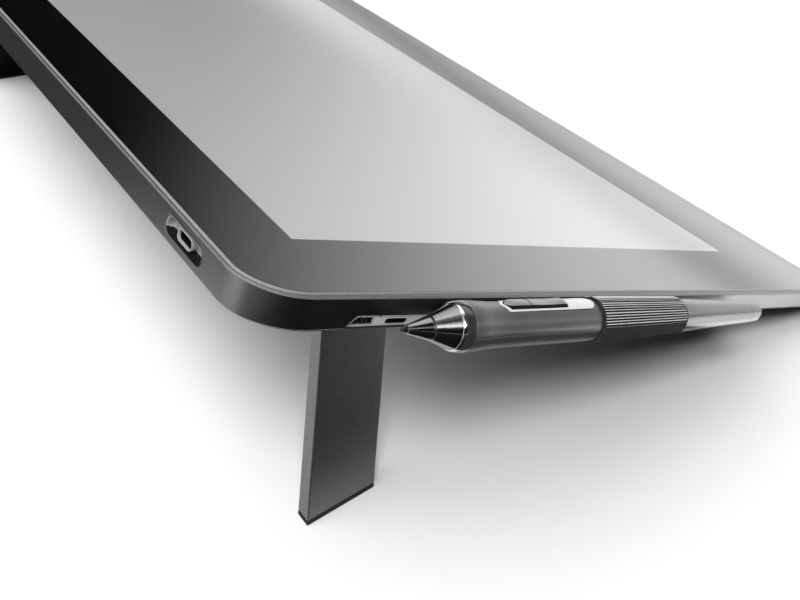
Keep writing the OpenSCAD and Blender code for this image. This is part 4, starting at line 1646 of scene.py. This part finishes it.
def build_stitches():
    """Overlock stitches over both cut edges of the webbing, clear of its two necks."""
    spacing, thread_r, from_neck, before_neck = 1.05, 0.17, 14, 26
    # Along from the edge, out from the webbing's inner face, and round in stitch spacings
    stitch = [(0.95, 0.3, 0.5), (0.85, 0.44, 0.45), (0.45, 0.47, 0.25), (0.1, 0.42, 0.05)]
    stitch.append((-0.1, 0.16, 0.0))
    threads = []
    for edge, inward in ((LOOP_FROM, 1), (LOOP_TO, -1)):
        radius = pen_r(edge) + CLOTH_GAP
        step = math.degrees(spacing / radius)
        count = int((360 - from_neck - before_neck - 2 * NECK_ANGLE) / step)
        for i in range(count):
            angle = NECK_ANGLE + from_neck + i * step
            path = []
            for along, lift, lean in stitch:
                a = math.radians(angle + lean * step)
                r = radius + lift
                path.append((r * math.cos(a), r * math.sin(a), edge + inward * along))
            threads.append(tube("thread", PEN, path, thread_r, [THREAD]))
    return joined("edge_stitches", threads)


sleeve = settle(build_sleeve(), "tablet", "textile", "loop_sleeve")
stitches = settle(build_stitches(), "tablet", "textile")


# ---------- floor, lights and camera ----------


def floor_paint():
    made = plain("floor_paint", grey(0.86), 0.9, Specular_IOR_Level=0.0)
    vary_colour(made, noise(made, 30), (0.85, 0.85, 0.85), (0.87, 0.87, 0.87))
    return made


def build_floor():
    """A round studio floor at the desk plane."""
    build = bmesh.new()
    bmesh.ops.create_circle(build, cap_ends=True, segments=96, radius=6.0)
    mesh = bpy.data.meshes.new("studio_floor")
    build.to_mesh(mesh)
    build.free()
    mesh.materials.append(floor_paint())
    floor = bpy.data.objects.new("studio_floor", mesh)
    bpy.context.scene.collection.objects.link(floor)


def add_softbox(name, toward, degrees, energy):
    """A distant overhead softbox that lights the floor and throws the soft shadows. Its
    reflections are left to the studio walls, so that no metal edge burns out."""
    lamp = bpy.data.lights.new(name, "SUN")
    lamp.energy = energy
    lamp.angle = math.radians(degrees)
    holder = bpy.data.objects.new(name, lamp)
    holder.rotation_euler = Vector(toward).to_track_quat("Z", "Y").to_euler()
    holder.visible_glossy = False
    holder.visible_transmission = False
    bpy.context.scene.collection.objects.link(holder)


AMBIENT = 0.006
BACKDROP = 1.3

# Reflected lights: a low wall in front, its left end, a high panel in front, a high strip on
# the left, a low wall at the rear, a high panel at the rear, and the ceiling. Each row holds
# the strength, the sides in compass degrees and the heights as sines of the angle above the
# horizon; sides and heights each give where a light fades in and where it fades out.
STUDIO_LIGHTS = [
    (3.0, (118, 150, 185, 205), (-0.5, -0.3, 0.22, 0.38)),
    (2.4, (185, 205, 211, 223), (-0.5, -0.3, 0.16, 0.3)),
    (1.6, (105, 130, 175, 205), (0.46, 0.6, 0.95, 1.05)),
    (4.0, (244, 264, 305, 330), (0.47, 0.54, 0.6, 0.98)),
    (3.0, (-2, -1, 28, 54), (-0.5, -0.3, 0.3, 0.6)),
    (0.8, (-2, -1, 70, 100), (0.5, 0.7, 1.1, 1.2)),
    (0.5, (-2, -1, 361, 362), (0.84, 0.97, 1.1, 1.2)),
]


def build_world():
    """The studio round the object, seen in its reflections and through its glass. The camera
    itself sees plain white past the floor."""
    world = bpy.data.worlds.new("studio")
    bpy.context.scene.world = world
    world.use_nodes = True
    world.cycles_visibility.diffuse = False
    nodes, links = world.node_tree.nodes, world.node_tree.links
    nodes.clear()

    def calculate(operation, *values):
        node = nodes.new("ShaderNodeMath")
        node.operation = operation
        for socket, value in zip(node.inputs, values):
            if isinstance(value, (int, float)):
                socket.default_value = value
            else:
                links.new(value, socket)
        return node.outputs[0]

    def ramp(value, start, end, low=0.0, high=1.0):
        node = nodes.new("ShaderNodeMapRange")
        node.interpolation_type = "SMOOTHSTEP"
        links.new(value, node.inputs["Value"])
        for socket, number in zip(list(node.inputs)[1:5], (start, end, low, high)):
            socket.default_value = number
        return node.outputs["Result"]

    def patch(strength, sides, heights):
        """Light between two compass angles and two heights, with soft borders."""
        parts = [ramp(compass, *sides[:2]), ramp(compass, *sides[2:], 1.0, 0.0)]
        parts += [ramp(height, *heights[:2]), ramp(height, *heights[2:], 1.0, 0.0)]
        light = strength
        for part in parts:
            light = calculate("MULTIPLY", part, light)
        return light

    where = nodes.new("ShaderNodeTexCoord")
    split = nodes.new("ShaderNodeSeparateXYZ")
    links.new(where.outputs["Generated"], split.inputs[0])
    x, y, height = split.outputs
    # Compass angle in degrees: 0 is the rear, 90 is the right, 180 the front and 270 the left
    bearing = calculate("MULTIPLY", calculate("ARCTAN2", x, y), 180 / math.pi)
    wrap = calculate("MULTIPLY", calculate("LESS_THAN", bearing, 0.0), 360)
    compass = calculate("ADD", bearing, wrap)
    light = AMBIENT
    for strength, sides, heights in STUDIO_LIGHTS:
        light = calculate("ADD", patch(strength, sides, heights), light)
    seen = nodes.new("ShaderNodeLightPath").outputs["Is Camera Ray"]
    mix = nodes.new("ShaderNodeMix")
    mix.data_type = "FLOAT"
    links.new(seen, mix.inputs["Factor"])
    links.new(light, mix.inputs[2])
    mix.inputs[3].default_value = BACKDROP
    background = nodes.new("ShaderNodeBackground")
    output = nodes.new("ShaderNodeOutputWorld")
    links.new(mix.outputs[0], background.inputs["Strength"])
    links.new(background.outputs[0], output.inputs["Surface"])


def add_card(name, low, high, glow_left=0.0, glow_right=0.0):
    """A card on the floor between two (x, y) corners, seen in reflections alone. It glows
    from its left side to its right; without a glow it is a black flag."""
    height = 0.001
    middle = ((low[0] + high[0]) / 2, (low[1] + high[1]) / 2)
    half = ((high[0] - low[0]) / 2, (high[1] - low[1]) / 2)
    corners = [(x * half[0], y * half[1], 0) for x, y in ((-1, -1), (1, -1), (1, 1), (-1, 1))]
    mesh = bpy.data.meshes.new(name)
    mesh.from_pydata(corners, [], [(0, 1, 2, 3)])
    felt = plain(name, grey(0.01), 0.95, Specular_IOR_Level=0.1, Emission_Color=(1, 1, 1, 1))
    vary_colour(felt, noise(felt, 60), grey(0.008), grey(0.014))
    nodes, links = felt.node_tree.nodes, felt.node_tree.links
    where = nodes.new("ShaderNodeTexCoord")
    split = nodes.new("ShaderNodeSeparateXYZ")
    ramp = nodes.new("ShaderNodeMapRange")
    links.new(where.outputs["Object"], split.inputs[0])
    links.new(split.outputs["X"], ramp.inputs["Value"])
    for socket, number in zip(list(ramp.inputs)[1:5], (-half[0], half[0], glow_left, glow_right)):
        socket.default_value = number
    feed(felt, "Emission Strength", ramp.outputs["Result"])
    mesh.materials.append(felt)
    card = bpy.data.objects.new(name, mesh)
    card.location = (*middle, height)
    bpy.context.scene.collection.objects.link(card)
    for ray in ("camera", "diffuse", "shadow", "transmission", "volume_scatter"):
        setattr(card, f"visible_{ray}", False)


def add_camera():
    """The photograph's view: over the rear left corner, along the screen."""
    data = bpy.data.cameras.new("camera")
    data.lens = 48.01
    data.sensor_width = 36.0
    data.clip_start = 0.01
    data.clip_end = 50.0
    camera = bpy.data.objects.new("camera", data)
    camera.location = (-0.39767, 0.31079, 0.24636)
    camera.rotation_euler = [math.radians(a) for a in (54.402, -0.456, -122.383)]
    bpy.context.scene.collection.objects.link(camera)
    bpy.context.scene.camera = camera


build_floor()
add_softbox("key_softbox", (-0.616, 0.387, 1.0), 23, 1.9)
add_softbox("rear_softbox", (0.339, 0.529, 1.0), 76, 3.05)
build_world()
# Black flags keep the white floor out of the left wall, the leg, the pen's underside and the
# far end of the rear wall; two lit cards fill the front end of the left wall and of the glass
add_card("left_flag", (-3.0, 0.05), (-0.222, 0.9))
add_card("leg_flag", (-3.0, -0.9), (-0.36, 0.05))
add_card("corner_flag", (-0.222, 0.27), (-0.15, 0.9))
add_card("right_flag", (0.12, 0.18), (3.0, 2.0))
add_card("wall_card", (-0.36, -0.145), (-0.214, 0.05), 3.0, 3.0)
add_card("front_card", (-0.36, -3.0), (0.5, -0.145), 3.4, 0.0)
add_camera()
bpy.context.scene.view_settings.view_transform = "Standard"
